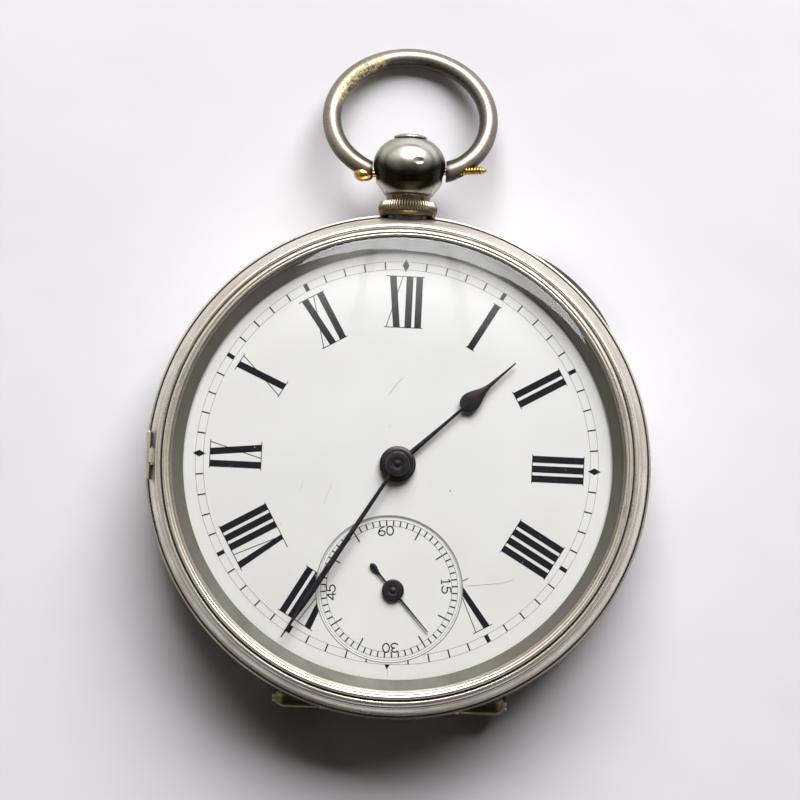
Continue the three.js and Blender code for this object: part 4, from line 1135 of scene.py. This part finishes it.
def hands():
    """Spade hour hand, slim minute hand, and a seconds hand with a tail."""
    spade = [
        (0.5, 0.28), (8.25, 0.15), (8.36, 0.45), (8.65, 0.76), (9.1, 0.93), (9.55, 0.93), (10.0, 0.8),
        (10.6, 0.55), (11.2, 0.33), (11.9, 0.19), (15.2, 0.07),
    ]
    ring = [(1.22, 9.9), (1.78, 9.9), (1.78, 10.16), (1.5, 10.28), (1.22, 10.28)]
    hand("hand_hour", spade, HOUR_CLOCK, 10.04, 10.2, ring, "hour_body", "hour_hand")
    slim = [(0.5, 0.17), (8, 0.23), (14.5, 0.3), (16.5, 0.27), (18.0, 0.17), (20.3, 0.06)]
    boss = cap(1.22, 10.46, 10.93, high("centre_arbor").z)
    hand("hand_minute", slim, MINUTE_CLOCK, 10.5, 10.66, boss, "centre_body", "minute_hand")
    tailed = [(-3.4, 0.08), (-3.2, 0.26), (-2.95, 0.31), (-2.6, 0.24), (-2.0, 0.1), (1, 0.1), (5.3, 0.05)]
    boss = cap(1.08, 9.62, 9.86, high("fourth_arbor").z)
    hand("hand_seconds", tailed, SECONDS_CLOCK, 9.62, 9.74, boss, "fourth_body", "seconds_hand", SECONDS_AT)


# ------------------------------------------------------------------ build


for make in (
    case_middle, back_cover, thumb_lip, cuvette, bezel, glass, pendant, collar, push_button, bow, bow_screw,
    dial, numerals, minute_track, seconds_print, cracks, hands,
):
    make()

FINISHES = {
    "gilt": "main_plate barrel_bridge train_bridge pallet_cock balance_cock barrel barrel_cover",
    "brass": "centre_wheel third_wheel fourth_wheel minute_wheel hour_wheel balance_wheel",
    "silver": "back_hinge_pin cuvette_hinge_pin bezel_hinge_pin",
}
METALS = {"gilt": GILT, "brass": BRASS_WHEEL, "silver": SILVER}
REPLACED = {
    "case_middle", "back_cover", "cuvette", "bezel", "glass", "pendant", "pendant_collar", "push_button",
    "bow", "bow_screw", "dial", "hour_hand", "minute_hand", "seconds_hand",
}
for node in NODES:
    if node in REPLACED:
        continue
    metal = next((METALS[kind] for kind, names in FINISHES.items() if node in names.split()), STEEL)
    slots = bpy.data.objects[node].data.materials
    slots.clear()
    slots.append(metal)

# ------------------------------------------------------------------ floor, light and camera


DIM = (0.045, 0.04, 0.032)
WALL_GLOW = (0.42, 0.39, 0.35)
WINDOW_GLOW = (0.97, 0.94, 0.90)
CEILING = (0.10, 0.095, 0.085)
PANE = (5.2, 5.15, 5.15)
AMBIENT = (0.016, 0.0115, 0.010)
WINDOW_FROM = Vector((0.155, 0.73, 0.66))
WINDOW_SIZE, WINDOW_POWER = (0.9, 0.62), 17.6
CAMERA_LENS, CAMERA_SENSOR = 157.39, 36
CAMERA_AT = Vector((4.168, -16.260, 351.253))
CAMERA_TILT = (3.80507, 0.55725, 2.17765)
FLOOR_HALF = 1500.0


def probe(body, place):
    """An empty that rides on a body and marks its lowest point."""
    marker = linked("probe_" + body, None)
    marker.location = Vector(place) * MM
    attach(marker, body)
    return marker


def lower_under(sheet, markers):
    """Keep the floor under whichever marker hangs lowest."""
    driver = sheet.driver_add("location", 2).driver
    driver.type = "SCRIPTED"
    names = []
    for i, marker in enumerate(markers):
        variable = driver.variables.new()
        variable.name = "z%d" % i
        variable.type = "TRANSFORMS"
        variable.targets[0].id = marker
        variable.targets[0].transform_type = "LOC_Z"
        variable.targets[0].transform_space = "WORLD_SPACE"
        names.append(variable.name)
    driver.expression = "min(0, " + ", ".join(names) + ")"


def paper():
    """Matt white paper with faint clouds."""
    s = Shader("paper")
    fibre = s.noise(1.2, 5, 0.6)
    cloud = s.noise(0.03, 3, 0.5)
    base = s.mix(s.range(cloud, 0.35, 0.7, 0, 1), (0.80, 0.785, 0.81), (0.775, 0.76, 0.79))
    s.bump((fibre, 0.12, 0.05), (s.noise(0.06, 2), 0.3, 0.8))
    return s.set(Base_Color=base, Roughness=0.75)


def floor():
    corners = [(x * FLOOR_HALF, y * FLOOR_HALF, 0) for x, y in ((-1, -1), (1, -1), (1, 1), (-1, 1))]
    mesh = mesh_of(corners, [(0, 1, 2, 3)])
    mesh.transform(Matrix.Scale(MM, 4))
    sheet = linked("floor", mesh)
    mesh.materials.append(paper())
    return sheet


def area_light(name, place, size, power, colour):
    """A soft rectangular lamp that shines at the watch."""
    data = bpy.data.lights.new(name, "AREA")
    data.shape = "RECTANGLE"
    data.size, data.size_y = size
    data.energy = power
    data.color = colour
    lamp = linked(name, data)
    lamp.location = place
    lamp.rotation_euler = (-place).to_track_quat("-Z", "Y").to_euler()


def world():
    """A dim room with a wide window on the side of 12 o'clock, as metal and glass see it."""
    room = bpy.data.worlds.new("room")
    bpy.context.scene.world = room
    room.use_nodes = True
    room.node_tree.nodes.clear()
    n = Nodes(room.node_tree, "Generated")
    split = n.node("ShaderNodeSeparateXYZ", Vector=n.place)
    x, y, z = (split.outputs[axis] for axis in "XYZ")
    above = n.smooth(z, 0.08, 0.3)
    below_zenith = n.smooth(z, 0.82, 0.97, 1.0, 0.0)
    window = n.math("MULTIPLY", n.smooth(y, 0.1, 0.5), n.math("MULTIPLY", above, below_zenith))
    side = n.math("MULTIPLY", n.smooth(n.math("ABSOLUTE", x), 0.3, 0.7), above)
    colour = n.mix(side, DIM, WALL_GLOW)
    colour = n.mix(window, colour, WINDOW_GLOW)
    colour = n.mix(n.smooth(z, 0.86, 0.98), colour, CEILING)
    off_centre = n.math("ABSOLUTE", x)
    pane = n.math("MULTIPLY", n.smooth(y, 0.19, 0.40), n.smooth(off_centre, 0.14, 0.28, 1.0, 0.0))
    mullion = n.smooth(n.math("ABSOLUTE", n.math("SUBTRACT", off_centre, 0.085)), 0.004, 0.016, 0.45, 1.0)
    pane = n.math("MULTIPLY", pane, mullion)
    pane = n.math("MULTIPLY", pane, n.smooth(z, 0.5, 0.7))
    colour = n.mix(pane, colour, PANE)
    seen = n.node("ShaderNodeBackground", Color=colour, Strength=1.0)
    ambient = n.node("ShaderNodeBackground", Color=(*AMBIENT, 1), Strength=1.0)
    path = n.node("ShaderNodeLightPath")
    glossy = path.outputs["Is Glossy Ray"]
    light = n.ordered("ShaderNodeMixShader", glossy, ambient.outputs[0], seen.outputs[0])
    n.ordered("ShaderNodeOutputWorld", light.outputs[0])


def camera():
    """A long lens nearly straight above the dial."""
    data = bpy.data.cameras.new("camera")
    data.lens, data.sensor_width = CAMERA_LENS, CAMERA_SENSOR
    data.clip_start, data.clip_end = 0.01, 20
    eye = linked("camera", data)
    eye.location = CAMERA_AT * MM
    eye.rotation_euler = tuple(math.radians(angle) for angle in CAMERA_TILT)
    bpy.context.scene.camera = eye


sheet = floor()
lower_under(sheet, [
    probe("back_body", (0, CASE_RADIUS, 2)), probe("back_body", (CASE_RADIUS, 4, 2)),
    probe("bow_body", (0, high("bow").y, low("bow").z)), probe("bezel_body", (CASE_RADIUS, 0, 12)),
])
world()
camera()
area_light("window", WINDOW_FROM, WINDOW_SIZE, WINDOW_POWER, (0.99, 0.99, 1.0))
bpy.context.scene.view_settings.view_transform = "Standard"
